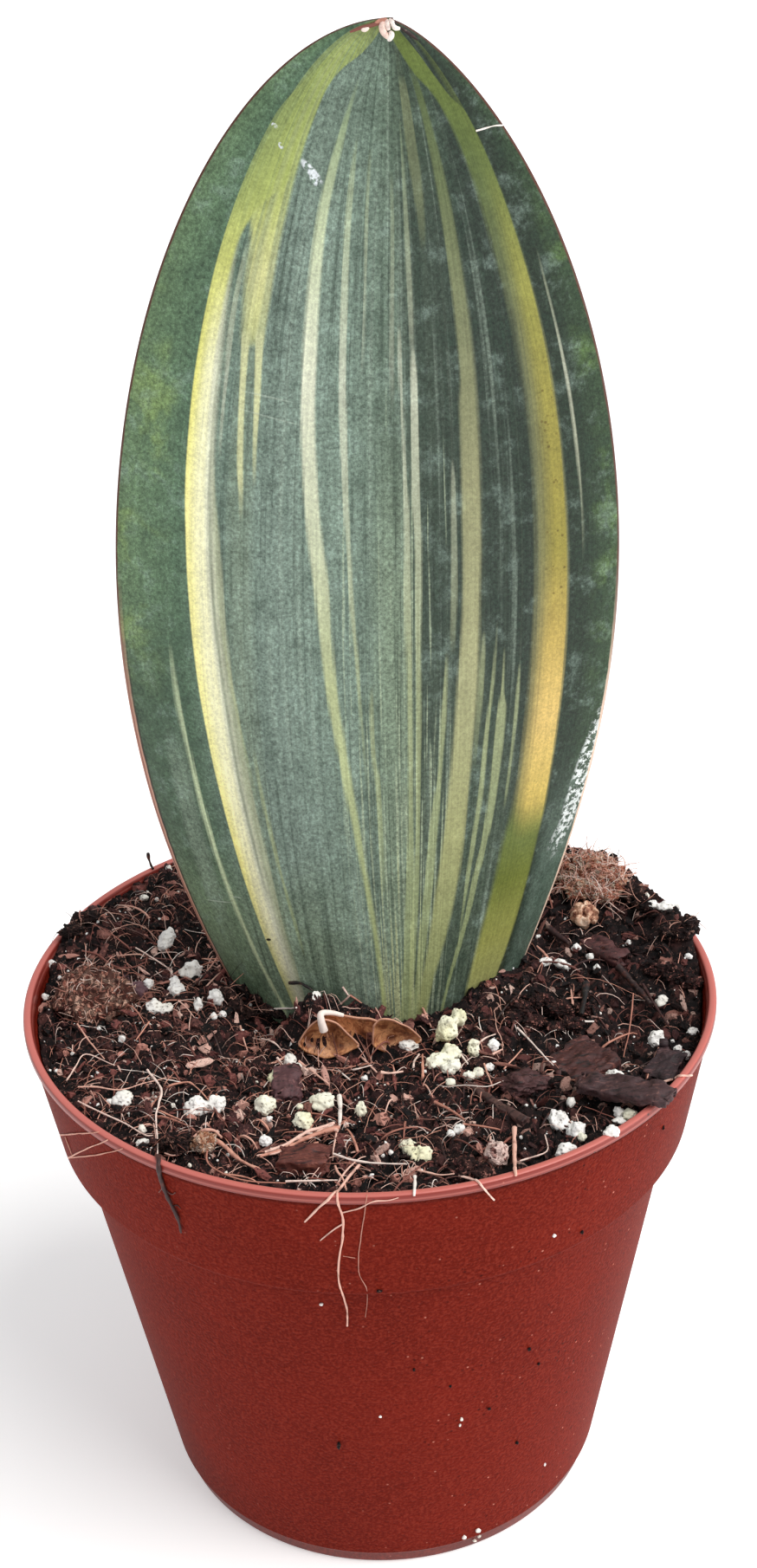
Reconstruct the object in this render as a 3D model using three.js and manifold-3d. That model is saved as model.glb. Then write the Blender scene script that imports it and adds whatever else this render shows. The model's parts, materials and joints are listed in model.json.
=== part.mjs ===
// Potted whale fin snake plant: one broad upright leaf in a nursery pot full of potting mix.
// Millimetres, +Z up. The origin is the middle of the pot's foot, where the pot stands.
// +X is to the viewer's right and -Y is towards the viewer.

import * as THREE from 'three';
import { mergeVertices } from 'three/addons/utils/BufferGeometryUtils.js';
import Module from 'manifold-3d';

const wasm = await Module();
wasm.setup();

// Pot: a 6 inch nursery pot
const POT_HEIGHT = 124;
const RIM_RADIUS = 76;
const LIP_HEIGHT = 2.2;
const LIP_WIDTH = 1.7;
const COLLAR_TOP_RADIUS = 75.2;
const COLLAR_BOTTOM_RADIUS = 70.8;
const COLLAR_HEIGHT = 28.7;
const WALL_TOP_RADIUS = 67.2;
const WALL_BOTTOM_RADIUS = 51.4;
const FOOT_RADIUS = 50.1;
const FOOT_HEIGHT = 3.8;
const FOOT_WIDTH = 4;
const WALL = 1.4;
const FLOOR_UNDERSIDE = 3;
const FLOOR_TOP = 4.6;
const ROUNDING = 0.6;
const DRAIN_COUNT = 8;
const DRAIN_RADIUS = 4.5;
const DRAIN_CIRCLE = 34;
const POT_SIDES = 60;

// Gap left between solids that touch
const GAP = 0.3;
const WALL_GAP = 0.45;

// Leaf: a tall oval blade that rolls up towards its buried base
const SOIL_LEVEL = 121;
const LEAF_TIP = 325.5;
const LEAF_FOOT = 78;
const LEAF_ROOT = 64.7;
const LEAF_HALF_WIDTH = 50.5;
const LEAF_LEFT = { foot: 0.659, tip: 0.514 };
const LEAF_RIGHT = { foot: 0.972, tip: 0.731 };
const LEAF_TIP_HALF = 1.1;
const LEAF_BASE_Y = -10.5;
const LEAF_LEAN = 5;
const LEAF_BASE_THICKNESS = 4;
const LEAF_TIP_THICKNESS = 1.6;
const LEAF_EDGE_THICKNESS = 1.1;
const RHIZOME = { radius: 10, length: 26, at: [9, -8, 74] };
const ROOTS = { count: 7, radius: 1.7, tipRadius: 0.9, length: 26 };

// Potting mix: the top's low hills and hollows, each with its rise and its spread
const LANDFORMS = [
  { at: [56, 42], rise: 8, spread: 14 },
  { at: [69, 15], rise: 7.5, spread: 6 },
  { at: [-66, 22], rise: 3.5, spread: 9 },
  { at: [-48, 50], rise: 3, spread: 16 },
  { at: [26, -3], rise: 4, spread: 10 },
  { at: [2, -17], rise: 1.5, spread: 10 },
  { at: [-21, -9], rise: -3, spread: 6 },
  { at: [-38, 20], rise: -2, spread: 8 },
  { at: [67, -22], rise: -3, spread: 12 },
  { at: [-69, -14], rise: -2, spread: 9 },
  { at: [0, 55], rise: 2, spread: 22 },
];

const COLOURS = {
  pot: 0x9a3527,
  soil: 0x33211b,
  plant: 0x55705c,
  sheath: 0x9a5a2b,
  bark: 0x3d2724,
  redBark: 0x5b332c,
  coir: 0x7a4a36,
  knot: 0xb98a63,
  perlite: 0xe9e6dc,
  creamPerlite: 0xe6deb0,
};

// Seeded random numbers between 0 and 1
function randomFrom(seed) {
  let state = seed;
  return () => {
    state = (state + 0x6d2b79f5) | 0;
    let mixed = Math.imul(state ^ (state >>> 15), 1 | state);
    mixed = (mixed + Math.imul(mixed ^ (mixed >>> 7), 61 | mixed)) ^ mixed;
    return ((mixed ^ (mixed >>> 14)) >>> 0) / 4294967296;
  };
}

// A closed geometry as a solid that can be joined and cut
function solid(geometry) {
  geometry.deleteAttribute('normal');
  geometry.deleteAttribute('uv');
  const merged = mergeVertices(geometry);
  const corners = merged.index.array;
  const kept = [];
  for (let i = 0; i < corners.length; i += 3) {
    const [a, b, c] = [corners[i], corners[i + 1], corners[i + 2]];
    if (a !== b && b !== c && c !== a) kept.push(a, b, c);
  }
  return new wasm.Manifold(new wasm.Mesh({
    numProp: 3,
    vertProperties: merged.attributes.position.array,
    triVerts: new Uint32Array(kept),
  }));
}

// A solid as a named mesh in its own material
function named(name, body, colour, roughness) {
  const mesh = body.getMesh();
  const geometry = new THREE.BufferGeometry();
  geometry.setAttribute('position', new THREE.BufferAttribute(mesh.vertProperties, 3));
  geometry.setIndex(new THREE.BufferAttribute(mesh.triVerts, 1));
  geometry.computeVertexNormals();
  const material = new THREE.MeshStandardMaterial({ color: colour, roughness, metalness: 0 });
  const result = new THREE.Mesh(geometry, material);
  result.name = name;
  return result;
}

// A closed ring or disc turned about +Z from a profile of [radius, height] points
function turned(profile, sides) {
  const points = profile.map(([radius, height]) => new THREE.Vector2(radius, height));
  return new THREE.LatheGeometry(points, sides).rotateX(Math.PI / 2);
}

// Moves every corner of a geometry by a function of its place
function reshape(geometry, move) {
  const position = geometry.attributes.position;
  const point = new THREE.Vector3();
  for (let i = 0; i < position.count; i += 1) {
    point.fromBufferAttribute(position, i);
    move(point);
    position.setXYZ(i, point.x, point.y, point.z);
  }
  return geometry;
}

// Pot
const COLLAR_FOOT = POT_HEIGHT - COLLAR_HEIGHT;
const LIP_FOOT = POT_HEIGHT - LIP_HEIGHT;
const INSIDE = [
  [WALL_BOTTOM_RADIUS - WALL, FLOOR_TOP],
  [WALL_TOP_RADIUS - WALL, COLLAR_FOOT + ROUNDING],
  [COLLAR_BOTTOM_RADIUS - WALL, COLLAR_FOOT + 3 * ROUNDING],
  [COLLAR_TOP_RADIUS - WALL, LIP_FOOT],
];

function pot() {
  const outside = [
    [0, FLOOR_UNDERSIDE],
    [FOOT_RADIUS - FOOT_WIDTH, FLOOR_UNDERSIDE],
    [FOOT_RADIUS - FOOT_WIDTH, 0],
    [FOOT_RADIUS, 0],
    [FOOT_RADIUS + ROUNDING / 2, FOOT_HEIGHT - ROUNDING],
    [WALL_BOTTOM_RADIUS, FOOT_HEIGHT],
    [WALL_TOP_RADIUS, COLLAR_FOOT - ROUNDING],
    [COLLAR_BOTTOM_RADIUS - ROUNDING, COLLAR_FOOT],
    [COLLAR_BOTTOM_RADIUS, COLLAR_FOOT + ROUNDING],
    [COLLAR_TOP_RADIUS, LIP_FOOT],
    [RIM_RADIUS, LIP_FOOT + ROUNDING / 2],
    [RIM_RADIUS, POT_HEIGHT - ROUNDING],
    [RIM_RADIUS - ROUNDING, POT_HEIGHT],
    [RIM_RADIUS - LIP_WIDTH + ROUNDING / 2, POT_HEIGHT],
    [RIM_RADIUS - LIP_WIDTH, POT_HEIGHT - ROUNDING],
  ];
  const profile = [...outside, ...[...INSIDE].reverse(), [0, FLOOR_TOP]];
  let body = solid(turned(profile, POT_SIDES));
  for (let i = 0; i < DRAIN_COUNT; i += 1) {
    const angle = ((i + 0.5) / DRAIN_COUNT) * 2 * Math.PI;
    const hole = new THREE.CylinderGeometry(DRAIN_RADIUS, DRAIN_RADIUS, 3 * FLOOR_TOP, 16);
    hole.rotateX(Math.PI / 2);
    hole.translate(DRAIN_CIRCLE * Math.cos(angle), DRAIN_CIRCLE * Math.sin(angle), FLOOR_UNDERSIDE);
    body = body.subtract(solid(hole));
  }
  return body;
}

// Leaf: u runs from margin to margin, -1 to 1, and height gives the rest
const BLADE_COLUMNS = 12;
const BLADE_ROWS = 28;

function bladeHalfWidth(u, height) {
  const side = u < 0 ? LEAF_LEFT : LEAF_RIGHT;
  const t = Math.min((height - LEAF_ROOT) / (LEAF_TIP - LEAF_ROOT), 1);
  const widest = side.foot / (side.foot + side.tip);
  const lower = (t / widest) ** side.foot;
  const upper = ((1 - t) / (1 - widest)) ** side.tip;
  return Math.max(LEAF_HALF_WIDTH * lower * upper, LEAF_TIP_HALF);
}

function bladeCentre(height) {
  const t = (height - SOIL_LEVEL) / (LEAF_TIP - SOIL_LEVEL);
  return { x: 3.665 - 8.741 * t + 14.642 * t * t, y: LEAF_BASE_Y + LEAF_LEAN * t };
}

// How far the margins bend back behind the middle, as a share of the half width
function bladeRoll(height) {
  const t = (height - SOIL_LEVEL) / (LEAF_TIP - SOIL_LEVEL);
  return 0.12 + 0.5 * Math.min(1 - t, 1) ** 3.5;
}

function blade(extra) {
  const box = new THREE.BoxGeometry(2, 2, 1, BLADE_COLUMNS, 1, BLADE_ROWS);
  reshape(box, (point) => {
    const u = point.x;
    const rise = Math.sin((point.z + 0.5) * (Math.PI / 2));
    const height = LEAF_FOOT - extra + (LEAF_TIP - LEAF_FOOT + extra) * rise;
    const half = bladeHalfWidth(u, height) + extra;
    const roll = bladeRoll(height);
    const middle = LEAF_BASE_THICKNESS + (LEAF_TIP_THICKNESS - LEAF_BASE_THICKNESS) * rise;
    const thickness = LEAF_EDGE_THICKNESS + (middle - LEAF_EDGE_THICKNESS) * (1 - u * u);
    const slope = 2 * roll * u;
    const length = Math.hypot(1, slope);
    const out = point.y * (thickness / 2 + extra);
    const centre = bladeCentre(height);
    point.set(
      centre.x + u * half - (slope / length) * out,
      centre.y + roll * half * u * u + out / length,
      height,
    );
  });
  return solid(box);
}

function rhizome(extra) {
  const capsule = new THREE.CapsuleGeometry(RHIZOME.radius + extra, RHIZOME.length, 4, 12);
  capsule.rotateZ(Math.PI / 2 + 0.12).translate(...RHIZOME.at);
  return solid(capsule);
}

// Feeding roots fan out and down from the rhizome
function roots(extra) {
  const result = [];
  const [x, y, z] = RHIZOME.at;
  const reach = RHIZOME.length / 2;
  for (let i = 0; i < ROOTS.count; i += 1) {
    const angle = (i / ROOTS.count) * 2 * Math.PI + 0.4;
    const length = ROOTS.length * (1 + 0.2 * ((i * 3) % 4));
    const droop = 0.75 + 0.12 * (i % 3);
    const root = new THREE.CylinderGeometry(
      ROOTS.radius + extra,
      ROOTS.tipRadius + extra,
      length + extra,
      6,
    );
    root.translate(0, -length / 2, 0).rotateX(Math.PI / 2).rotateY(droop);
    root.rotateZ(angle + Math.PI);
    root.translate(x + reach * Math.cos(angle), y + 0.3 * reach * Math.sin(angle), z - 3);
    result.push(solid(root));
  }
  return result;
}

function snakePlant(extra) {
  return wasm.Manifold.union([blade(extra), rhizome(extra), ...roots(extra)]);
}

// Height of the potting mix at a place: level, landforms and two sizes of seeded lumps
const LUMPS = [
  { cell: 9, rise: 1.3, seed: 11 },
  { cell: 4.6, rise: 0.9, seed: 23 },
];

function cornerNoise(column, row, seed) {
  return randomFrom(column * 7349 + row * 9151 + seed * 4001)() * 2 - 1;
}

function noise(x, y, cell, seed) {
  const [column, row] = [Math.floor(x / cell), Math.floor(y / cell)];
  const smooth = (t) => t * t * (3 - 2 * t);
  const [s, t] = [smooth(x / cell - column), smooth(y / cell - row)];
  const near = cornerNoise(column, row, seed) * (1 - s) + cornerNoise(column + 1, row, seed) * s;
  const far = cornerNoise(column, row + 1, seed) * (1 - s)
    + cornerNoise(column + 1, row + 1, seed) * s;
  return near * (1 - t) + far * t;
}

function soilHeight(x, y) {
  let height = SOIL_LEVEL - 0.5;
  for (const { at, rise, spread } of LANDFORMS) {
    height += rise * Math.exp(-((x - at[0]) ** 2 + (y - at[1]) ** 2) / (2 * spread * spread));
  }
  for (const { cell, rise, seed } of LUMPS) height += rise * noise(x, y, cell, seed);
  return height;
}

// A rough lump of the given size, with its corners pushed in and out by a seeded draw
function lump(size, seed, detail) {
  const random = randomFrom(seed);
  const shape = new THREE.IcosahedronGeometry(0.5, detail);
  shape.deleteAttribute('normal');
  shape.deleteAttribute('uv');
  const merged = mergeVertices(shape);
  reshape(merged, (point) => point.multiplyScalar(0.86 + 0.28 * random()));
  return merged.scale(...size);
}

// A splintered chip: a slab with uneven ends and edges
function chip(size, seed) {
  const random = randomFrom(seed);
  const slab = new THREE.BoxGeometry(1, 1, 1, 3, 1, 1);
  slab.deleteAttribute('normal');
  slab.deleteAttribute('uv');
  const merged = mergeVertices(slab);
  reshape(merged, (point) => {
    const taper = 1 - 0.5 * Math.abs(point.x) ** 2;
    point.set(
      point.x + 0.1 * (random() - 0.5),
      point.y * taper + 0.14 * (random() - 0.5),
      point.z * (0.9 + 0.2 * random()) + 0.16 * (random() - 0.5),
    );
  });
  return merged.scale(...size);
}

// A bent rod with one thin end, for twigs
function rod([length, width, depth], seed, sides) {
  const shape = new THREE.CylinderGeometry(0.32, 0.5, 1, sides, 3).rotateZ(Math.PI / 2);
  shape.scale(length, width, depth);
  reshape(shape, (point) => {
    point.y += 0.6 * Math.sin((3 * point.x) / length + seed);
  });
  return shape;
}

const MAKERS = { lump, chip, rod };

// Pieces that lie in the surface: their size, turn about +Z and tilt from level, in degrees.
// Sunk is how far the middle lies below the surface around it.
const PIECES = [
  { name: 'coir_lump', make: 'lump', colour: 'coir', detail: 1,
    grains: [{ at: [-61.5, 3], size: [19, 20, 11], turn: 20, sunk: 1 }] },
  { name: 'round_knot', make: 'lump', colour: 'knot', detail: 0,
    grains: [{ at: [50, 21.4], size: [6, 6, 5], sunk: -0.5 }] },
  { name: 'bark_plank_on_rim', make: 'chip', colour: 'bark', height: 124.9,
    grains: [{ at: [50.2, -46], size: [20.5, 6.6, 2.6], turn: -30, tilt: 8 }] },
  { name: 'red_bark_chip', make: 'chip', colour: 'redBark',
    grains: [{ at: [44, -29], size: [13, 12, 4], turn: 35, tilt: 8, sunk: -0.6 }] },
  { name: 'purple_bark_chip', make: 'chip', colour: 'redBark',
    grains: [{ at: [-18, -35.5], size: [10, 6, 3], turn: 95, tilt: 10, sunk: -0.3 }] },
  { name: 'front_bark_chip', make: 'chip', colour: 'redBark',
    grains: [{ at: [-14, -60.5], size: [11, 6, 3], turn: -12, tilt: 4, sunk: -0.3 }] },
  { name: 'back_bark_plank', make: 'chip', colour: 'bark',
    grains: [{ at: [53.4, 9.6], size: [13, 5, 3], turn: -58, tilt: 6, sunk: -0.3 }] },
  { name: 'right_bark_chip', make: 'chip', colour: 'bark',
    grains: [{ at: [61, -31.5], size: [9, 7, 3], turn: 50, tilt: 12, sunk: -0.8 }] },
  { name: 'twig', make: 'rod', colour: 'redBark', detail: 6,
    grains: [{ at: [25, -44], size: [19, 2.6, 2.6], turn: -54, tilt: 4, sunk: -0.4 }] },
  { name: 'perlite_by_sheath', make: 'lump', colour: 'creamPerlite', detail: 0, height: 124,
    grains: [{ at: [16.1, -20.9], size: [6, 5, 7.4], turn: 20 },
      { at: [18.7, -18.3], size: [4.4, 4.4, 4.8], turn: 60, lift: 1.2 }] },
  { name: 'perlite_cluster', make: 'lump', colour: 'creamPerlite', detail: 0, height: 121.8,
    grains: [{ at: [13.2, -29.3], size: [5.2, 4.8, 4.6], turn: 10 },
      { at: [16.4, -27.2], size: [4.8, 4.8, 4.2], turn: 50, lift: 0.8 },
      { at: [16.2, -31.2], size: [5.2, 4.4, 3.8], turn: 30 }] },
  { name: 'perlite_pierced', make: 'lump', colour: 'creamPerlite', detail: 0,
    grains: [{ at: [21.6, -24.6], size: [3.4, 4, 6], turn: 15, sunk: -1 }] },
  { name: 'perlite_front_left', make: 'lump', colour: 'perlite', detail: 0, height: 121.6,
    grains: [{ at: [-36.3, -42], size: [6.2, 5.6, 5.4] },
      { at: [-32.1, -41.6], size: [4.6, 5.2, 5], turn: 30 }] },
  { name: 'perlite_front', make: 'lump', colour: 'creamPerlite', detail: 0, height: 120.9,
    grains: [{ at: [8.6, -59.6], size: [5.4, 5.2, 4.6], turn: 20 },
      { at: [6.4, -56.6], size: [4.4, 4.8, 3.8], turn: 70 }] },
  { name: 'perlite_front_right', make: 'lump', colour: 'perlite', detail: 0, height: 120.8,
    grains: [{ at: [36.8, -50], size: [5.8, 5.8, 4.6], turn: 40 },
      { at: [39.9, -53.5], size: [4.8, 5.2, 4], turn: 10 }] },
  { name: 'perlite_right', make: 'lump', colour: 'perlite', detail: 0,
    grains: [{ at: [61.3, -18.6], size: [4.4, 5, 5], turn: 30, sunk: -0.6 }] },
  { name: 'perlite_far_right', make: 'lump', colour: 'perlite', detail: 0,
    grains: [{ at: [64.3, -6.6], size: [3.8, 4, 4], turn: 12, sunk: -0.6 }] },
  { name: 'perlite_on_clump', make: 'lump', colour: 'perlite', detail: 0,
    grains: [{ at: [68.8, 18.8], size: [6.4, 3.2, 3.2], turn: -8, sunk: -0.9 }] },
  { name: 'perlite_back_right', make: 'lump', colour: 'creamPerlite', detail: 0,
    grains: [{ at: [43.3, 4.8], size: [5.4, 2.8, 2.8], turn: -35, sunk: -0.5 }] },
  { name: 'perlite_long', make: 'lump', colour: 'perlite', detail: 0,
    grains: [{ at: [-46.7, 24.6], size: [4.4, 9, 5], turn: -18, sunk: -0.8 }] },
  { name: 'perlite_by_margin', make: 'lump', colour: 'creamPerlite', detail: 0,
    grains: [{ at: [-40.2, 12.2], size: [5, 6, 6], turn: -30, sunk: -1 }] },
  { name: 'perlite_middle_left', make: 'lump', colour: 'perlite', detail: 0, height: 121.8,
    grains: [{ at: [-42.8, 2.8], size: [4.6, 4.6, 4.2], turn: 40 },
      { at: [-43.6, 5.9], size: [3.4, 3.4, 3] }] },
  { name: 'perlite_left', make: 'lump', colour: 'perlite', detail: 0, height: 121.4,
    grains: [{ at: [-47.7, -3.4], size: [4.8, 5, 4.6] },
      { at: [-44.8, -4.4], size: [3.8, 3.4, 3.2], turn: 40 }] },
];

const RADIANS = Math.PI / 180;

function place(shape, grain, height) {
  const { at: [x, y], turn = 0, tilt = 0, lift = 0 } = grain;
  return shape.rotateY(-tilt * RADIANS).rotateZ(turn * RADIANS).translate(x, y, height + lift);
}

// One body for a piece, or for grains that touch; extra makes the pocket it lies in
function piece(entry, index, extra) {
  const grains = entry.grains.map((grain, i) => {
    const size = grain.size.map((side) => side + 2 * extra);
    const height = entry.height ?? soilHeight(...grain.at) - grain.sunk;
    const shape = MAKERS[entry.make](size, 100 + index * 10 + i, entry.detail);
    return solid(place(shape, grain, height));
  });
  return wasm.Manifold.union(grains);
}

// Dry scale in front of the leaf's base: a thin curled shell with two lobes and a hooked corner
const SHEATH = {
  middle: [-2.7, -19.5],
  halfWidth: 13,
  foot: 117.5,
  top: 126.4,
  thickness: 0.9,
  belly: 2.6,
  wrap: 3.4,
  lean: 2.2,
  hook: 1.6,
};

function drySheath(extra) {
  const shell = new THREE.BoxGeometry(2, 1, 1, 14, 1, 4);
  reshape(shell, (point) => {
    const [u, up] = [point.x, point.z + 0.5];
    const lobes = 0.72 + 0.28 * Math.abs(Math.cos(1.75 * (u + 0.1))) - 0.55 * Math.abs(u) ** 4;
    const crown = SHEATH.foot + (SHEATH.top - SHEATH.foot) * lobes;
    const belly = SHEATH.belly * Math.sin(0.8 * Math.PI * up) * (1 - u * u);
    const hook = SHEATH.hook * Math.exp(-(((u + 0.55) / 0.16) ** 2)) * up * up;
    const side = SHEATH.halfWidth * (0.82 + 0.18 * up) * u;
    const base = SHEATH.foot - extra;
    point.set(
      SHEATH.middle[0] + side + 1.5 * extra * u,
      SHEATH.middle[1] - belly + SHEATH.wrap * u * u + hook + SHEATH.lean * up
        + point.y * (SHEATH.thickness + 3.5 * extra),
      base + (crown + extra - base) * up,
    );
  });
  return solid(shell);
}

// Potting mix: turned to fit the pot, with its top raised and lowered by the height rule
const SOIL_BANK_FOOT = 114;
const RING_JITTER = 1.2;
const SOIL_RINGS = 13;
const SOIL_SIDES = 48;

function wallRadius(height) {
  const above = INSIDE.findIndex((point) => point[1] >= height);
  if (above < 0) return INSIDE[INSIDE.length - 1][0];
  const [[lowRadius, low], [highRadius, high]] = [INSIDE[above - 1], INSIDE[above]];
  return lowRadius + ((highRadius - lowRadius) * (height - low)) / (high - low);
}

function soilFill() {
  const [bottom, step, shelf] = INSIDE;
  const profile = [
    [0, FLOOR_TOP + GAP],
    [bottom[0] - WALL_GAP, FLOOR_TOP + GAP],
    [step[0] - WALL_GAP, step[1] + WALL_GAP],
    [shelf[0] - WALL_GAP, shelf[1] + WALL_GAP],
    [wallRadius(SOIL_BANK_FOOT) - WALL_GAP, SOIL_BANK_FOOT],
  ];
  for (let i = SOIL_RINGS; i >= 0; i -= 1) {
    profile.push([(wallRadius(SOIL_LEVEL) * i) / SOIL_RINGS, SOIL_LEVEL]);
  }
  const shape = turned(profile, SOIL_SIDES);
  reshape(shape, (point) => {
    if (point.z <= SOIL_BANK_FOOT) return;
    const [x, y] = [point.x, point.y];
    point.z = soilHeight(x, y);
    const radius = Math.hypot(x, y);
    if (radius > wallRadius(SOIL_LEVEL) - 1) {
      const edge = (wallRadius(point.z) - WALL_GAP) / radius;
      point.x *= edge;
      point.y *= edge;
    } else {
      point.x += RING_JITTER * noise(x, y, 3.1, 41);
      point.y += RING_JITTER * noise(x, y, 3.1, 57);
    }
  });
  return solid(shape);
}

// Small crumbs of bark, twig and perlite, sunk into the mix by a seeded rule
const CRUMBS = 42;
const CRUMB_REACH = 67;
const CRUMB_KINDS = [
  { make: 'lump', size: [6, 3.6, 2.2], sides: 0 },
  { make: 'rod', size: [10, 1.3, 1.3], sides: 3 },
  { make: 'lump', size: [2.8, 2.6, 2.6], sides: 0 },
];

function crumbs() {
  const random = randomFrom(2024);
  const result = [];
  while (result.length < CRUMBS) {
    const angle = 2 * Math.PI * random();
    const radius = CRUMB_REACH * Math.sqrt(random());
    const kind = CRUMB_KINDS[Math.floor(CRUMB_KINDS.length * random())];
    const scale = 0.7 + 0.7 * random();
    const grain = {
      at: [radius * Math.cos(angle), radius * Math.sin(angle)],
      turn: 360 * random(),
      tilt: 24 * (random() - 0.5),
    };
    const size = kind.size.map((side) => side * scale);
    const shape = MAKERS[kind.make](size, result.length + 1, kind.sides);
    const height = soilHeight(...grain.at) + 0.15 * size[2];
    result.push(solid(place(shape, grain, height)));
  }
  return result;
}

function soil() {
  const pockets = [snakePlant(GAP), drySheath(GAP)];
  PIECES.forEach((entry, index) => pockets.push(piece(entry, index, GAP)));
  const whole = wasm.Manifold.union([soilFill(), ...crumbs()]);
  const cut = whole.subtract(wasm.Manifold.union(pockets));
  const bodies = cut.decompose().sort((a, b) => b.volume() - a.volume());
  return bodies[0];
}

const plant = new THREE.Group();
plant.add(
  named('pot', pot(), COLOURS.pot, 0.6),
  named('soil', soil(), COLOURS.soil, 0.95),
  named('snake_plant', snakePlant(0), COLOURS.plant, 0.45),
  named('dry_sheath', drySheath(0), COLOURS.sheath, 0.6),
);
PIECES.forEach((entry, index) => {
  plant.add(named(entry.name, piece(entry, index, 0), COLOURS[entry.colour], 0.9));
});

export default plant;
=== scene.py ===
# %% [markdown]
# # A potted whale fin snake plant
#
# The real object is one broad, stiff leaf that stands in a red plastic nursery pot full of
# potting mix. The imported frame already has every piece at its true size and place. This
# lesson dresses that frame: each step makes one piece or one finish, finer than the frame's
# own solid, in the same place. Everything is in metres, with +Z up and -Y towards the viewer.
# Whatever is random has a fixed seed, so that each run gives the same plant.

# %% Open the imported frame
import json
import math

import bmesh
import bpy
import numpy as np
from mathutils import Matrix, Vector, noise
from mathutils.bvhtree import BVHTree

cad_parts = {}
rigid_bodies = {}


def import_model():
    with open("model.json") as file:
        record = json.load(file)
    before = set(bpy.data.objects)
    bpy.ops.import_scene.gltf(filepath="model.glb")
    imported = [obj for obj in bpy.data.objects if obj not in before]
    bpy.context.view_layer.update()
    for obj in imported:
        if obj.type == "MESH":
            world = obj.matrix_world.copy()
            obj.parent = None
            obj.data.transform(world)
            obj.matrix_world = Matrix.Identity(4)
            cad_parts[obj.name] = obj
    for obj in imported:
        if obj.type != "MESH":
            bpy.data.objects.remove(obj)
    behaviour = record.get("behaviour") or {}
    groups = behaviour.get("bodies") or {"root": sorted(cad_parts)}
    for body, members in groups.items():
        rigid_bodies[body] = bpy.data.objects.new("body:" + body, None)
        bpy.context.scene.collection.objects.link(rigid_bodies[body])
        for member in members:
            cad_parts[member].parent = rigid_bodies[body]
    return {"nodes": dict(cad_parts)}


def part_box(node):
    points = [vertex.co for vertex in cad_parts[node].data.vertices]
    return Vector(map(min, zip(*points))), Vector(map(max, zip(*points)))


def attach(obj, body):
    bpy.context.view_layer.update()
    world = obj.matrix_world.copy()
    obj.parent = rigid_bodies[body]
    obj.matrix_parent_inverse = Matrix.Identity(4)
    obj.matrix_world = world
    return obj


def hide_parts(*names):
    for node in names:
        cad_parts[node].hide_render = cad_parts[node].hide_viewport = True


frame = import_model()
MM = 0.001
NOISE_SEED = 5
noise.seed_set(NOISE_SEED)


def put_in_scene(name, data):
    """A new object that belongs to the scene."""
    placed = bpy.data.objects.new(name, data)
    bpy.context.scene.collection.objects.link(placed)
    return placed


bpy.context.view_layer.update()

# %% [markdown]
# ## The camera
#
# The photograph looks down at the pot from the front. A camera could be placed by eye, but a
# pot's rim is a true circle, and the way it shows as an oval gives the height and distance of
# the lens. Those two are kept here as multiples of the rim's radius, so that the camera would
# follow a pot of another size. The small lean is how the photograph was held.

# %% Place the camera
pot_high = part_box("pot")[1]
RIM_RADIUS = pot_high.x
POT_HEIGHT = pot_high.z
CAMERA_DISTANCE = 6.078 * RIM_RADIUS
CAMERA_RISE = math.radians(32.47)
LOOK_DOWN = math.radians(27.11)
LOOK_RIGHT = math.radians(0.52)
LEAN = math.radians(-1.98)
LENS_MM = 47.73
SENSOR_MM = 36.0

camera_place = Vector((
    0.0,
    -CAMERA_DISTANCE * math.cos(CAMERA_RISE),
    POT_HEIGHT + CAMERA_DISTANCE * math.sin(CAMERA_RISE),
))
ahead = Vector((
    math.sin(LOOK_RIGHT) * math.cos(LOOK_DOWN),
    math.cos(LOOK_RIGHT) * math.cos(LOOK_DOWN),
    -math.sin(LOOK_DOWN),
))
level_right = Vector((math.cos(LOOK_RIGHT), -math.sin(LOOK_RIGHT), 0.0))
level_up = level_right.cross(ahead)
right = math.cos(LEAN) * level_right + math.sin(LEAN) * level_up
up = math.cos(LEAN) * level_up - math.sin(LEAN) * level_right

camera = put_in_scene("camera", bpy.data.cameras.new("camera"))
camera.data.lens = LENS_MM
camera.data.sensor_width = SENSOR_MM
camera.data.clip_start = 0.01
camera.matrix_world = (
    Matrix.Translation(camera_place) @ Matrix((right, up, -ahead)).transposed().to_4x4()
)
bpy.context.scene.camera = camera
print("camera at", [round(c, 3) for c in camera_place])

# %% [markdown]
# ## Nodes written as sums
#
# Both geometry and materials are made of nodes here. A sum of several parts needs many small
# Math nodes, which are hard to read when they are made one by one. The helper below wraps a
# node's output, so that an ordinary sum in the script adds the Math nodes by itself.


# %% A number that varies over a surface
def plug(value, socket):
    """Joins a field, an output or a node's first output to an input, or sets a plain value."""
    value = getattr(value, "socket", value)
    if isinstance(value, bpy.types.Node):
        value = value.outputs[0]
    if isinstance(value, bpy.types.NodeSocket):
        socket.id_data.links.new(value, socket)
    else:
        socket.default_value = value


def add(tree, kind, inputs=None, **settings):
    """One new node of a kind, with its settings and its inputs by name or number."""
    node = tree.nodes.new(kind)
    for name, value in settings.items():
        setattr(node, name, value)
    for key, value in (inputs or {}).items():
        plug(value, node.inputs[key])
    return node


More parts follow.
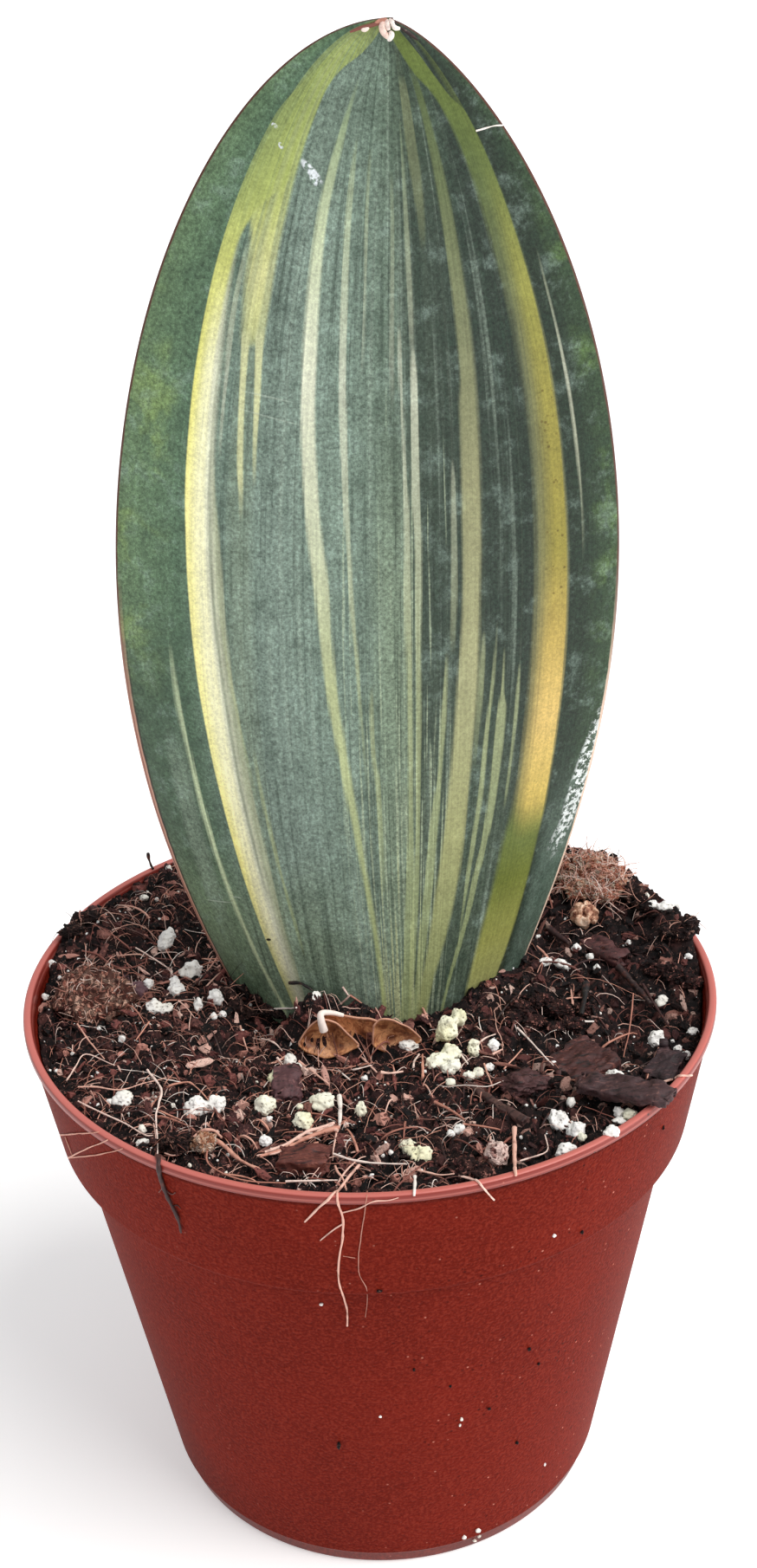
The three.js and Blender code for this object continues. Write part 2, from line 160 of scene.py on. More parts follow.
class Field:
    """A node's output that can be added, multiplied and eased like a number."""

    def __init__(self, socket):
        self.socket = socket
        self.tree = socket.id_data

    def maths(self, operation, *others):
        inputs = dict(enumerate((self, *others)))
        return Field(add(self.tree, "ShaderNodeMath", inputs, operation=operation).outputs[0])

    def __add__(self, other):
        return self.maths("ADD", other)

    def __sub__(self, other):
        return self.maths("SUBTRACT", other)

    def __mul__(self, other):
        return self.maths("MULTIPLY", other)

    def __truediv__(self, other):
        return self.maths("DIVIDE", other)

    def __pow__(self, other):
        return self.maths("POWER", other)

    def __neg__(self):
        return self.maths("MULTIPLY", -1.0)

    def least(self, other):
        return self.maths("MINIMUM", other)

    def most(self, other):
        return self.maths("MAXIMUM", other)

    def size(self):
        return self.maths("ABSOLUTE")

    def root(self):
        return self.maths("SQRT")

    def flip(self):
        """One minus the field."""
        return (-self) + 1.0

    def ease(self, start, end):
        """Nought up to start, one past end, and a smooth rise between them."""
        inputs = {"Value": self, "From Min": start, "From Max": end}
        node = add(self.tree, "ShaderNodeMapRange", inputs, interpolation_type="SMOOTHSTEP")
        return Field(node.outputs["Result"])


print("fields are ready")

# %% [markdown]
# ## The look of a surface
#
# Each finish is a Principled shader whose colour, roughness and bump come from patterns. The
# small helpers name what a painter would do: take a colour, mottle it, lay thin coats over it
# through masks, and press a relief into the surface. Colours are written as a screen shows
# them, from 0 to 255, and are turned into the linear numbers of nodes where they are used.


# %% Helpers for finishes
def seen(colour):
    """A colour as read off a screen in a node's linear numbers; a node's output stays."""
    if isinstance(colour, bpy.types.NodeSocket):
        return colour
    linear = [((c / 255 + 0.055) / 1.055) ** 2.4 if c > 10 else c / 3294.6 for c in colour]
    return (*linear, 1.0)


def new_finish(name):
    """A material with its node tree and its Principled shader."""
    material = bpy.data.materials.new(name)
    material.use_nodes = True
    return material, material.node_tree, material.node_tree.nodes["Principled BSDF"]


def object_place(tree, scale=(1.0, 1.0, 1.0)):
    """The place on the object in metres, stretched by a scale."""
    place = add(tree, "ShaderNodeTexCoord").outputs["Object"]
    return add(tree, "ShaderNodeMapping", {"Vector": place, "Scale": scale}).outputs[0]


def part(vector, axis):
    """One of the three parts of a vector."""
    return Field(add(vector.id_data, "ShaderNodeSeparateXYZ", {0: vector}).outputs[axis])


def carried(tree, name):
    """A number that the piece's points carry under a name."""
    return Field(add(tree, "ShaderNodeAttribute", attribute_name=name).outputs["Fac"])


def mottle(place, scale, detail=3.0, roughness=0.55, distortion=0.0):
    """Cloudy noise from nought to one."""
    inputs = {"Vector": place, "Scale": scale, "Detail": detail,
              "Roughness": roughness, "Distortion": distortion}
    return Field(add(place.id_data, "ShaderNodeTexNoise", inputs).outputs[0])


def cells(place, scale):
    """Distance to the middle of scattered cells."""
    inputs = {"Vector": place, "Scale": scale}
    return Field(add(place.id_data, "ShaderNodeTexVoronoi", inputs).outputs["Distance"])


def window(field, low, high, soft):
    """One between low and high, with soft ends."""
    return field.ease(low - soft, low + soft) * field.ease(high + soft, high - soft)


def ramp(field, stops):
    """A colour that changes with a field; stops are (value, colour), lowest first."""
    node = add(field.tree, "ShaderNodeValToRGB", {0: field})
    elements = node.color_ramp.elements
    while len(elements) < len(stops):
        elements.new(0.5)
    for element, (value, colour) in zip(elements, stops):
        element.position = value
        element.color = seen(colour)
    return node.outputs["Color"]


def paint(colour, *coats):
    """A colour under coats, lowest first; a coat is (mask, colour where the mask is one)."""
    for mask, over in coats:
        inputs = {0: mask, 6: colour, 7: seen(over)}
        colour = add(mask.tree, "ShaderNodeMix", inputs, data_type="RGBA").outputs[2]
    return colour


def dim(colour, *factors):
    """The colour made darker or lighter by factors around one."""
    for factor in factors:
        inputs = {0: colour, "Scale": factor}
        colour = add(factor.tree, "ShaderNodeVectorMath", inputs, operation="SCALE").outputs[0]
    return colour


def dress(shader, colour, roughness, height, depth, strength, gloss=0.5):
    """Ends a finish: its colour, roughness and gloss, and a relief pressed depth metres deep."""
    relief = {"Height": height, "Distance": depth, "Strength": strength}
    plug(colour, shader.inputs["Base Color"])
    plug(roughness, shader.inputs["Roughness"])
    plug(gloss, shader.inputs["Specular IOR Level"])
    plug(add(shader.id_data, "ShaderNodeBump", relief).outputs[0], shader.inputs["Normal"])


print("finishing helpers are ready")

# %% [markdown]
# ## Floor and light
#
# The object stands on a plain pale floor that glows a little, like a photographer's light
# table. A bright even surround lights it softly from everywhere, as an overcast sky would. A
# wide soft sun from the upper right gives the rim, the leaf and the perlite a mild direction
# and keeps the far floor as pale as the near one. Two weak lamps lift the pot's sides.

# %% Lay the floor
FLOOR_REACH = 6.0
FLOOR_DROP = 0.05 * MM
FLOOR_LOOK = {
    "Base Color": (0.95, 0.95, 0.95, 1.0),
    "Roughness": 0.9,
    "Emission Color": (1.0, 1.0, 1.0, 1.0),
    "Emission Strength": 0.34,
}
floor_corners = [(-1, -1), (1, -1), (1, 1), (-1, 1)]
floor_mesh = bpy.data.meshes.new("floor")
floor_mesh.from_pydata(
    [(FLOOR_REACH * x, FLOOR_REACH * y, -FLOOR_DROP) for x, y in floor_corners], [], [(0, 1, 2, 3)]
)
floor_finish, _, floor_shader = new_finish("pale floor")
for name, value in FLOOR_LOOK.items():
    floor_shader.inputs[name].default_value = value
floor_mesh.materials.append(floor_finish)
put_in_scene("floor", floor_mesh)
print("floor", 2 * FLOOR_REACH, "m across")

# %% Hang the lights: kind, place, target and settings
LIGHTS = {
    "soft_sun": ("SUN", (0, 0, 0), (-0.66, 0.36, -1.0), {
        "energy": 2.3, "angle": math.radians(45.0), "color": (1.0, 0.985, 0.96)}),
    "left_lamp": ("AREA", (-0.9, -0.35, 0.6), (0, 0, 0.2), {
        "energy": 0.6, "size": 0.7, "color": (0.94, 0.97, 1.0)}),
    "right_lamp": ("AREA", (0.9, -0.15, 0.16), (0, 0, 0.08), {
        "energy": 2.5, "size": 0.5, "color": (1.0, 0.97, 0.94)}),
}
for name, (kind, place, target, settings) in LIGHTS.items():
    light = put_in_scene(name, bpy.data.lights.new(name, kind))
    for key, value in settings.items():
        setattr(light.data, key, value)
    light.location = place
    way = Vector(target) - Vector(place)
    light.rotation_euler = way.to_track_quat("-Z", "Y").to_euler()

surround = bpy.data.worlds.new("soft surround")
surround.use_nodes = True
sky = surround.node_tree.nodes["Background"]
sky.inputs["Color"].default_value = (0.97, 0.985, 1.0, 1.0)
sky.inputs["Strength"].default_value = 0.46
bpy.context.scene.world = surround
bpy.context.scene.view_settings.view_transform = "Standard"
print("a surround and", len(LIGHTS), "lights")

# %% [markdown]
# ## From node trees to plain pieces
#
# A geometry tree is a recipe. It is given to a throwaway object, its named inputs are set by
# their identifiers, and the finished result is copied into a plain mesh. The recipe is gone
# after that, so the piece can ride on the frame's body as any other mesh does.


# %% Helpers for pieces
WELD = 0.001 * MM


def recipe(name, inputs):
    """A geometry tree with named number inputs; returns the tree, its geometry and its fields."""
    tree = bpy.data.node_groups.new(name, "GeometryNodeTree")
    face = tree.interface
    face.new_socket("Geometry", in_out="INPUT", socket_type="NodeSocketGeometry")
    for label, value in inputs.items():
        kind = "NodeSocketInt" if isinstance(value, int) else "NodeSocketFloat"
        if isinstance(value, (bpy.types.Material, bpy.types.Collection)):
            kind = f"NodeSocket{type(value).__name__}"
        face.new_socket(label, in_out="INPUT", socket_type=kind).default_value = value
    face.new_socket("Geometry", in_out="OUTPUT", socket_type="NodeSocketGeometry")
    start = tree.nodes.new("NodeGroupInput")
    return tree, start.outputs["Geometry"], {k: Field(start.outputs[k]) for k in inputs}


def serve(tree, geometry, finish):
    """Ends a recipe: instances made real, finish set, sent to the output."""
    real = add(tree, "GeometryNodeRealizeInstances", {"Geometry": geometry})
    done = add(tree, "GeometryNodeSetMaterial", {"Geometry": real, "Material": finish})
    end = tree.nodes.new("NodeGroupOutput")
    plug(done, end.inputs[0])


def plain_mesh(source, name):
    """The mesh of an object with all its modifiers applied, as a new object."""
    seen_now = source.evaluated_get(bpy.context.evaluated_depsgraph_get())
    mesh = bpy.data.meshes.new_from_object(seen_now)
    mesh.name = name
    bpy.data.objects.remove(source)
    return put_in_scene(name, mesh)


def cook(name, tree, data, values):
    """Follows a recipe on some starting data with the given input values."""
    source = put_in_scene(name + "_source", data)
    modifier = source.modifiers.new("recipe", "NODES")
    modifier.node_group = tree
    for item in tree.interface.items_tree:
        if item.in_out == "INPUT" and item.name in values:
            modifier[item.identifier] = values[item.name]
    return plain_mesh(source, name)


def mesh_from(name, points, faces):
    """A mesh from lists of points and faces."""
    mesh = bpy.data.meshes.new(name)
    mesh.from_pydata([tuple(p) for p in points], [], [tuple(f) for f in faces])
    mesh.update()
    return mesh


def mesh_of(built, name):
    """A mesh from what was built point by point, which is freed."""
    mesh = bpy.data.meshes.new(name)
    built.to_mesh(mesh)
    built.free()
    return mesh


def keep(mesh, name, values):
    """Gives each point of a mesh a number that finishes and recipes can read."""
    mesh.attributes.new(name, "FLOAT", "POINT").data.foreach_set("value", values)


def carrier(*pieces):
    """One search tree over the surfaces of several pieces."""
    points, faces = [], []
    for piece in pieces:
        first = len(points)
        points += [v.co for v in piece.data.vertices]
        faces += [tuple(first + k for k in p.vertices) for p in piece.data.polygons]
    return BVHTree.FromPolygons(points, faces)


def hand_over(piece, slot, *nodes, smooth=True):
    """Rides a finished piece on the body, in place of the frame's nodes that it stands for."""
    piece.data.polygons.foreach_set("use_smooth", [smooth] * len(piece.data.polygons))
    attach(piece, "root")
    if nodes:
        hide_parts(*nodes)
    print(piece.name, "has", len(piece.data.polygons), "faces")


print("piece helpers are ready")

# %% [markdown]
# ## The pot
#
# A nursery pot is blown or moulded in one thin shot of plastic: a tapered wall, a deeper
# collar at the top, a rolled lip, and a foot ring under a floor with drain holes. A lathe is
# the natural way to make it, so half of its section is drawn once, its corners are rounded,
# and the Screw modifier turns it. The holes repeat, so a small geometry tree sets cylinders on
# a circle and cuts them all at once.

# %% Draw the pot's section
COLLAR_FOOT = POT_HEIGHT - 28.7 * MM
LIP_FOOT = POT_HEIGHT - 2.2 * MM
FLOOR_TOP = 4.6 * MM
FLOOR_UNDERSIDE = 3.0 * MM
CORNER_RADIUS = 0.7 * MM
INSIDE_WALL = [
    (50.0 * MM, FLOOR_TOP),
    (65.8 * MM, COLLAR_FOOT + 0.6 * MM),
    (69.4 * MM, COLLAR_FOOT + 1.8 * MM),
    (73.8 * MM, LIP_FOOT),
]
OUTSIDE_WALL = [
    (46.1 * MM, FLOOR_UNDERSIDE),
    (46.1 * MM, 0.0),
    (50.1 * MM, 0.0),
    (50.4 * MM, 3.2 * MM),
    (51.4 * MM, 3.8 * MM),
    (67.2 * MM, COLLAR_FOOT - 0.6 * MM),
    (70.2 * MM, COLLAR_FOOT),
    (70.8 * MM, COLLAR_FOOT + 0.6 * MM),
    (75.2 * MM, LIP_FOOT),
    (RIM_RADIUS, LIP_FOOT + 0.3 * MM),
    (RIM_RADIUS, POT_HEIGHT),
    (74.3 * MM, POT_HEIGHT),
]


def rounded(corners, radius, steps=4):
    """A line through corners, each one cut short by the radius and rounded off."""
    points = [Vector(corners[0])]
    for before, corner, after in zip(corners, corners[1:], corners[2:]):
        corner = Vector(corner)
        back = Vector(before) - corner
        on = Vector(after) - corner
        start = corner + back.normalized() * min(radius, 0.45 * back.length)
        end = corner + on.normalized() * min(radius, 0.45 * on.length)
        for i in range(steps + 1):
            t = i / steps
            points.append((1 - t) ** 2 * start + 2 * t * (1 - t) * corner + t * t * end)
    points.append(Vector(corners[-1]))
    return points


pot_corners = [
    (0.0, FLOOR_UNDERSIDE), *OUTSIDE_WALL, *reversed(INSIDE_WALL), (0.0, FLOOR_TOP)
]
pot_section = rounded(pot_corners, CORNER_RADIUS)
print("the pot's section has", len(pot_section), "points")

# %% Cut the drain holes with a geometry tree
POT_SIDES = 240
DRAIN_HOLES = 8

drill_tree, drill_pot, drill = recipe(
    "drain holes",
    {"Holes": DRAIN_HOLES, "Circle": 34.0 * MM, "Hole radius": 4.5 * MM, "Depth": 14.0 * MM},
)
drill_ring = add(drill_tree, "GeometryNodeMeshCircle", {
    "Vertices": drill["Holes"], "Radius": drill["Circle"],
})
drill_turn = add(drill_tree, "GeometryNodeTransform", {
    "Geometry": drill_ring, "Rotation": (0.0, 0.0, math.pi / DRAIN_HOLES),
})
drill_bit = add(drill_tree, "GeometryNodeMeshCylinder", {
    "Vertices": 32, "Radius": drill["Hole radius"], "Depth": drill["Depth"],
})
drill_bits = add(drill_tree, "GeometryNodeInstanceOnPoints", {
    "Points": drill_turn, "Instance": drill_bit,
})
drill_real = add(drill_tree, "GeometryNodeRealizeInstances", {0: drill_bits})
drill_cut = add(drill_tree, "GeometryNodeMeshBoolean", operation="DIFFERENCE")
plug(drill_pot, drill_cut.inputs["Mesh 1"])
plug(drill_real, drill_cut.inputs["Mesh 2"])
print("drill tree has", len(drill_tree.nodes), "nodes")

# %% [markdown]
# ### The pot's finish
#
# The plastic is a warm terracotta red. Its walls come out of the mould with a fine pebbled
# grain, while the lip and the foot ring are smooth. The lip is painted a lighter red, with a
# pale top edge and a thin pale line, as painted highlights, and the dark bands under the lip
# and under the collar are painted shade. The foot is darker in patches. Dust and dark specks
# of soil cling to it, more of them on the right. The grain could be modelled, but at a
# quarter of a millimetre deep a bump is the right tool.

# %% Mix the pot's finish
pot_finish, tree, shader = new_finish("pebbled terracotta plastic")
place = object_place(tree)
pot_z = part(place, "Z")
grain = mottle(place, 1500.0, 2.0, 0.6)
clouds = mottle(place, 28.0, 4.0, 0.6)
smooth_lip = pot_z.ease(LIP_FOOT - 0.4 * MM, LIP_FOOT + 0.2 * MM)
smooth_parts = smooth_lip.most(pot_z.ease(4.2 * MM, 3.4 * MM))
dusty = mottle(place, 40.0).ease(0.42, 0.6) * (part(place, "X").ease(-30 * MM, 45 * MM) * 0.8 + 0.2)
dark_specks = cells(place, 420.0).ease(0.17, 0.08) * dusty
pale_specks = cells(place, 300.0).ease(0.09, 0.05) * dusty
# Painted highlights: the lip band is painted a lighter red, with a pale top edge and a thin pale line.
lip_band_highlight = pot_z.ease(LIP_FOOT, LIP_FOOT + 0.6 * MM)
lip_line_highlight = window(pot_z, LIP_FOOT + 0.8 * MM, LIP_FOOT + 1.2 * MM, 0.15 * MM)
lip_top_highlight = pot_z.ease(POT_HEIGHT - 0.4 * MM, POT_HEIGHT - 0.05 * MM)
# Painted shade: dark bands under the rolled lip and under the collar; the foot is also darker in
# patches.
under_lip_shade = window(pot_z, LIP_FOOT - 1.0 * MM, LIP_FOOT, 0.3 * MM)
under_collar_shade = pot_z.ease(COLLAR_FOOT - 5 * MM, COLLAR_FOOT - 0.3 * MM)
under_collar_shade = under_collar_shade * pot_z.ease(COLLAR_FOOT + 0.3 * MM, COLLAR_FOOT)
darker_foot = pot_z.ease(6 * MM, 2 * MM) * clouds.ease(0.4, 0.6)
colour = paint(
    ramp(clouds, [(0.3, (99, 24, 14)), (0.7, (115, 30, 19))]),
    (grain.ease(0.42, 0.72) * 0.45, (152, 56, 40)),
    (grain.ease(0.45, 0.25) * 0.4, (70, 14, 7)),
    (lip_band_highlight * 0.85, (142, 54, 46)),
    (dark_specks * 0.85, (44, 16, 14)),
    (pale_specks * 0.8, (222, 150, 130)),
    (lip_top_highlight * 0.7, (228, 132, 122)),
    (lip_line_highlight * 0.4, (206, 122, 112)),
    # painted shade under the lip and under the collar, and the foot darker in patches
    (under_lip_shade * 0.5, (58, 12, 8)),
    (under_collar_shade.most(darker_foot) * 0.45, (58, 12, 8)),
)
pebbles = grain * (smooth_parts * 0.85).flip()
dress(shader, colour, clouds * 0.1 + 0.46 - smooth_parts * 0.18, pebbles, 0.25 * MM, 0.7,
      smooth_parts * 0.35 + 0.02)
print("pot finish has", len(tree.nodes), "nodes")

# %% Turn the pot
section_edges = [(i + 1, i) for i in range(len(pot_section) - 1)]
section_mesh = bpy.data.meshes.new("pot section")
section_mesh.from_pydata([(p.x, 0.0, p.y) for p in pot_section], section_edges, [])
pot_source = put_in_scene("pot_source", section_mesh)
lathe = pot_source.modifiers.new("lathe", "SCREW")
lathe.angle = 2 * math.pi
lathe.steps = POT_SIDES
lathe.render_steps = POT_SIDES
lathe.use_merge_vertices = True
lathe.merge_threshold = WELD
turned_pot = plain_mesh(pot_source, "turned_pot")
serve(drill_tree, drill_cut, pot_finish)
pot = cook("moulded_pot", drill_tree, turned_pot.data, {"Holes": DRAIN_HOLES})
bpy.data.objects.remove(turned_pot)
hand_over(pot, "pot", "pot")

# %% [markdown]
# ## The leaf's shape
#
# The leaf is one tall oval blade, thick in the middle, thin at its margins, and rolled back
# towards its buried foot. It could be sculpted, but its outline follows a simple rule: from
# foot to tip the half width is a product of two powers, one that opens the blade and one that
# closes it. A geometry tree states that rule once. It starts from a flat grid whose one side
# runs round the section and whose other side climbs the leaf, and moves every point to its
# place. The same tree writes down where each point lies between the margins, because the
# stripes need that later.

# %% The leaf's driving sizes
LEAF = {
    "Tip height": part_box("snake_plant")[1].z,
    "Foot height": 78.0 * MM,
    "Root height": 64.7 * MM,
    "Soil level": 121.0 * MM,
    "Half width": 50.5 * MM,
    "Tip half width": 1.1 * MM,
    "Base thickness": 4.0 * MM,
    "Tip thickness": 1.6 * MM,
    "Edge thickness": 1.1 * MM,
    "Waviness": 0.5 * MM,
}
MIDDLE_BEND = 14.642 * MM
MIDDLE_SLOPE = -8.741 * MM
MIDDLE_AT_SOIL = 3.665 * MM
BACKWARD_LEAN = 5.0 * MM
FORWARD_AT_SOIL = -10.5 * MM
ROLL_AT_TIP = 0.12
ROLL_AT_SOIL = 0.5
LEFT_POWERS = (0.659, 0.514)
RIGHT_POWERS = (0.972, 0.731)
BLADE_AROUND = 150
BLADE_ROWS = 220
print("the leaf's tip is", round(LEAF["Tip height"] / MM, 1), "mm above the floor")

# %% The rule of the blade as a geometry tree
blade_tree, _, size = recipe("leaf blade", LEAF)
tree = blade_tree
grid = add(tree, "GeometryNodeMeshGrid", {
    "Size X": 1.0, "Size Y": 1.0, "Vertices X": BLADE_AROUND, "Vertices Y": BLADE_ROWS,
})
flat = add(tree, "GeometryNodeInputPosition").outputs[0]
around = (part(flat, "X") + 0.5) * (2 * math.pi)
climb = (part(flat, "Y") + 0.5) * (BLADE_ROWS - 1.0)
opening = climb.least(-climb + (BLADE_ROWS - 1.0)).least(1.0)
share = ((climb - 1.0) / (BLADE_ROWS - 3.0)).most(0.0).least(1.0)

u = -around.maths("COSINE")
front = around.maths("SINE").maths("SIGN")
rise = (share * (math.pi / 2)).maths("SINE")
height = (size["Tip height"] - size["Foot height"]) * rise + size["Foot height"]
grown = ((height - size["Root height"]) / (size["Tip height"] - size["Root height"])).least(1.0)
to_right = u.maths("GREATER_THAN", 0.0)
foot_power = to_right * (RIGHT_POWERS[0] - LEFT_POWERS[0]) + LEFT_POWERS[0]
tip_power = to_right * (RIGHT_POWERS[1] - LEFT_POWERS[1]) + LEFT_POWERS[1]
widest = foot_power / (foot_power + tip_power)
opened = (grown / widest) ** foot_power
closed = (grown.flip().most(0.0) / widest.flip()) ** tip_power
half = (size["Half width"] * opened * closed).most(size["Tip half width"])

above = (height - size["Soil level"]) / (size["Tip height"] - size["Soil level"])
middle_x = above * above * MIDDLE_BEND + above * MIDDLE_SLOPE + MIDDLE_AT_SOIL
middle_y = above * BACKWARD_LEAN + FORWARD_AT_SOIL
roll = (above.flip().least(1.0) ** 3.5) * ROLL_AT_SOIL + ROLL_AT_TIP
thick_middle = (size["Tip thickness"] - size["Base thickness"]) * rise + size["Base thickness"]
thickness = (thick_middle - size["Edge thickness"]) * (u * u).flip() + size["Edge thickness"]
to_margin = u.size().flip() * half
edge = (to_margin / (size["Edge thickness"] * 0.5)).least(1.0)
rounding = (edge * (-edge + 2.0)).root()
out = -(front * thickness * rounding * opening * 0.5)
slope = roll * u * 2.0
length = (slope * slope + 1.0).root()
wave_place = add(tree, "ShaderNodeCombineXYZ", {"X": u * 2.2, "Y": height * 22.0}).outputs[0]
wave = (mottle(wave_place, 1.0, 1.0) - 0.5) * size["Waviness"] * 2.0
place_x = middle_x + u * half * opening - slope / length * out
place_y = middle_y + roll * half * opening * u * u + out / length + wave
print("blade tree has", len(tree.nodes), "nodes")

# %% Write the stripes' map on the blade and grow it
leaf_map = add(tree, "ShaderNodeCombineXYZ", {
    "X": (u + 1.0) * 0.5,
    "Y": (height - size["Foot height"]) / (size["Tip height"] - size["Foot height"]),
})
mapped = add(tree, "GeometryNodeStoreNamedAttribute", {
    "Geometry": grid.outputs["Mesh"], "Name": "leaf_map",
}, data_type="FLOAT2", domain="CORNER")
plug(leaf_map, mapped.inputs["Value"])
margined = add(tree, "GeometryNodeStoreNamedAttribute", {
    "Geometry": mapped, "Name": "to_margin", "Value": to_margin,
})
blade_place = add(tree, "ShaderNodeCombineXYZ", {"X": place_x, "Y": place_y, "Z": height})
moved = add(tree, "GeometryNodeSetPosition", {"Geometry": margined, "Position": blade_place})
joined = add(tree, "GeometryNodeMergeByDistance", {"Geometry": moved, "Distance": WELD})
print("blade tree ends with", len(tree.nodes), "nodes")

# %% [markdown]
# ## The leaf's stripes
#
# Variegation runs along the leaf as the veins do, so a stripe is best told by where its left
# and right edges lie at a few heights. Each stripe below is a short list of such rows, from
# the top down, read between the left margin, -1, and the right margin, +1. A Vector Curves
# node joins the rows with smooth lines, and a mask is one between them. Nothing is painted by
# hand, so the stripes stay sharp at any size and run on round the back of the leaf.

# %% The stripes, top to bottom: height in mm, left edge, right edge, strength
LEFT_BAND = [(324, -.42, -.10), (320, -.60, -.25), (315, -.68, -.44), (310, -.735, -.46),
             (300, -.737, -.47), (293, -.738, -.62), (286, -.738, -.665), (270, -.733, -.66),
             (250, -.726, -.65), (240, -.722, -.645), (220, -.705, -.628), (200, -.688, -.605),
             (180, -.665, -.585), (160, -.636, -.56), (140, -.60, -.53), (120, -.54, -.49)]
LEFT_LOBE = [(312, -.70, -.455), (300, -.70, -.46), (293, -.655, -.46), (289, -.605, -.462),
             (280, -.58, -.462), (273, -.56, -.462, .9), (268, -.55, -.46, 0)]
LEFT_FRINGE = [(292, -.67, -.655, 0), (270, -.67, -.642), (250, -.66, -.622), (240, -.65, -.603),
               (230, -.645, -.582), (220, -.635, -.566), (200, -.615, -.545), (180, -.59, -.52),
               (160, -.57, -.49), (140, -.54, -.472), (120, -.50, -.445)]
LEFT_CREAM = [(316, -.215, -.195, 0), (310, -.245, -.215, .7), (304, -.27, -.225), (290, -.298, -.243),
              (270, -.288, -.232), (255, -.275, -.222), (240, -.253, -.198), (230, -.232, -.178),
              (220, -.21, -.155), (210, -.192, -.147), (200, -.176, -.134), (180, -.127, -.093),
              (160, -.077, -.052), (140, -.036, -.014), (120, -.02, .004)]
RIGHT_CREAM = [(316, .34, .41, .3), (310, .355, .42), (290, .37, .435), (262, .382, .445),
               (255, .37, .444), (230, .37, .437), (215, .366, .43), (200, .35, .43),
               (185, .338, .42), (170, .32, .41), (160, .303, .403), (150, .28, .385),
               (140, .256, .35), (130, .222, .295), (120, .185, .25)]
RIGHT_BAND = [(324, .10, .45), (320, .27, .57), (316, .40, .625), (312, .53, .68),
              (309, .565, .752), (300, .60, .757), (290, .612, .76), (270, .638, .77),
              (250, .652, .779), (230, .656, .785), (200, .648, .79), (180, .642, .792),
              (168, .628, .792), (160, .605, .786), (150, .59, .785), (140, .566, .78),
              (130, .54, .765), (120, .52, .735)]
RIGHT_GOLD = [(310, .69, .752, .4), (290, .687, .757, .8), (270, .69, .766), (250, .698, .774),
              (220, .694, .781), (200, .68, .786), (180, .668, .788), (171, .664, .789),
              (166, .668, .79, .8), (159, .67, .79, 0)]
EDGE_LINE = [(208, -.79, -.785, 0), (200, -.79, -.778, .7), (180, -.770, -.752, .9),
             (160, -.748, -.729), (150, -.733, -.713), (140, -.711, -.690), (130, -.68, -.658),
             (120, -.632, -.606)]
BAND_SHADE = [(288, -.652, -.642, 0), (240, -.630, -.618, .7), (220, -.614, -.602),
              (200, -.592, -.580), (180, -.571, -.559), (160, -.547, -.535), (148, -.53, -.52, 0)]
TOP_OLIVE = [(316, .18, .26, 0), (311, .19, .27), (304, .20, .275), (298, .215, .28),
             (292, .232, .277, .8), (285, .242, .27, 0)]
FINGERS = [
    [(272, -.56, -.52, 0), (266, -.545, -.516), (255, -.53, -.507), (245, -.52, -.497),
     (240, -.51, -.492, .5), (234, -.503, -.49, 0)],
    [(272, -.50, -.462, 0), (266, -.485, -.455), (257, -.47, -.447), (251, -.464, -.447, .8),
     (241, -.455, -.442, 0)],
]
PALE_LINES = [
    [(306, -.15, -.135, 0), (296, -.155, -.125), (280, -.145, -.115), (262, -.13, -.10),
     (245, -.11, -.085), (230, -.088, -.07), (215, -.07, -.056), (195, -.047, -.036, .7),
     (175, -.03, -.02, 0)],
    [(304, -.06, -.045, 0), (295, -.057, -.042, .7), (275, -.043, -.03, .5), (262, -.04, -.03, 0)],
    [(268, .175, .185, 0), (262, .172, .195), (240, .17, .20), (230, .18, .206), (210, .185, .202),
     (180, .184, .199), (160, .178, .20), (120, .13, .16)],
    [(272, .118, .128, 0), (264, .12, .134, .7), (250, .13, .142, .7), (235, .138, .158),
     (215, .14, .164), (190, .147, .168), (170, .148, .17), (155, .135, .175), (140, .12, .172),
     (120, .08, .15)],
    [(206, .302, .306, 0), (195, .288, .306), (180, .278, .293), (170, .252, .285),
     (160, .236, .275), (150, .22, .262), (135, .19, .23), (120, .16, .19)],
    [(212, .50, .505, 0), (200, .488, .50, .7), (185, .468, .486), (170, .455, .476),
     (155, .435, .455), (145, .43, .44, .6), (135, .42, .43, 0)],
    [(206, .533, .537, 0), (196, .527, .54), (192, .518, .552), (180, .51, .548), (165, .50, .533),
     (155, .475, .506), (140, .434, .462), (128, .38, .402), (120, .35, .37)],
    [(202, .598, .602, 0), (195, .592, .605, .8), (180, .587, .599, .8), (168, .582, .594, 0)],
    [(210, .445, .452, 0), (203, .436, .456, .8), (190, .43, .45, .5), (178, .425, .44, 0)],
    [(186, -.49, -.48, 0), (175, -.48, -.465, .8), (160, -.455, -.441), (145, -.425, -.41, .9),
     (135, -.405, -.392, 0)],
    [(228, -.597, -.588, 0), (215, -.585, -.575, .7), (195, -.548, -.537, .8), (172, -.502, -.49, 0)],
    [(288, -.62, -.60, 0), (280, -.622, -.60, .7), (262, -.605, -.588, .7), (246, -.60, -.588, 0)],
    [(285, .838, .843, 0), (275, .827, .836, .6), (250, .835, .846), (235, .84, .85, .5),
     (222, .842, .852, 0)],
    [(246, .33, .335, 0), (240, .325, .342, .6), (220, .318, .34, .6), (205, .315, .335, 0)],
    [(310, .155, .165, 0), (298, .158, .176, .6), (275, .165, .185, .5), (266, .17, .185, 0)],
    [(300, .075, .095, 0), (290, .08, .105, .45), (270, .08, .10, .4), (255, .085, .10, 0)],
    [(200, .0, .01, 0), (190, -.005, .01, .8), (175, .01, .03, .9), (160, .015, .035, .6),
     (150, .015, .03, 0)],
]
print("stripes:", 10 + len(FINGERS) + len(PALE_LINES))

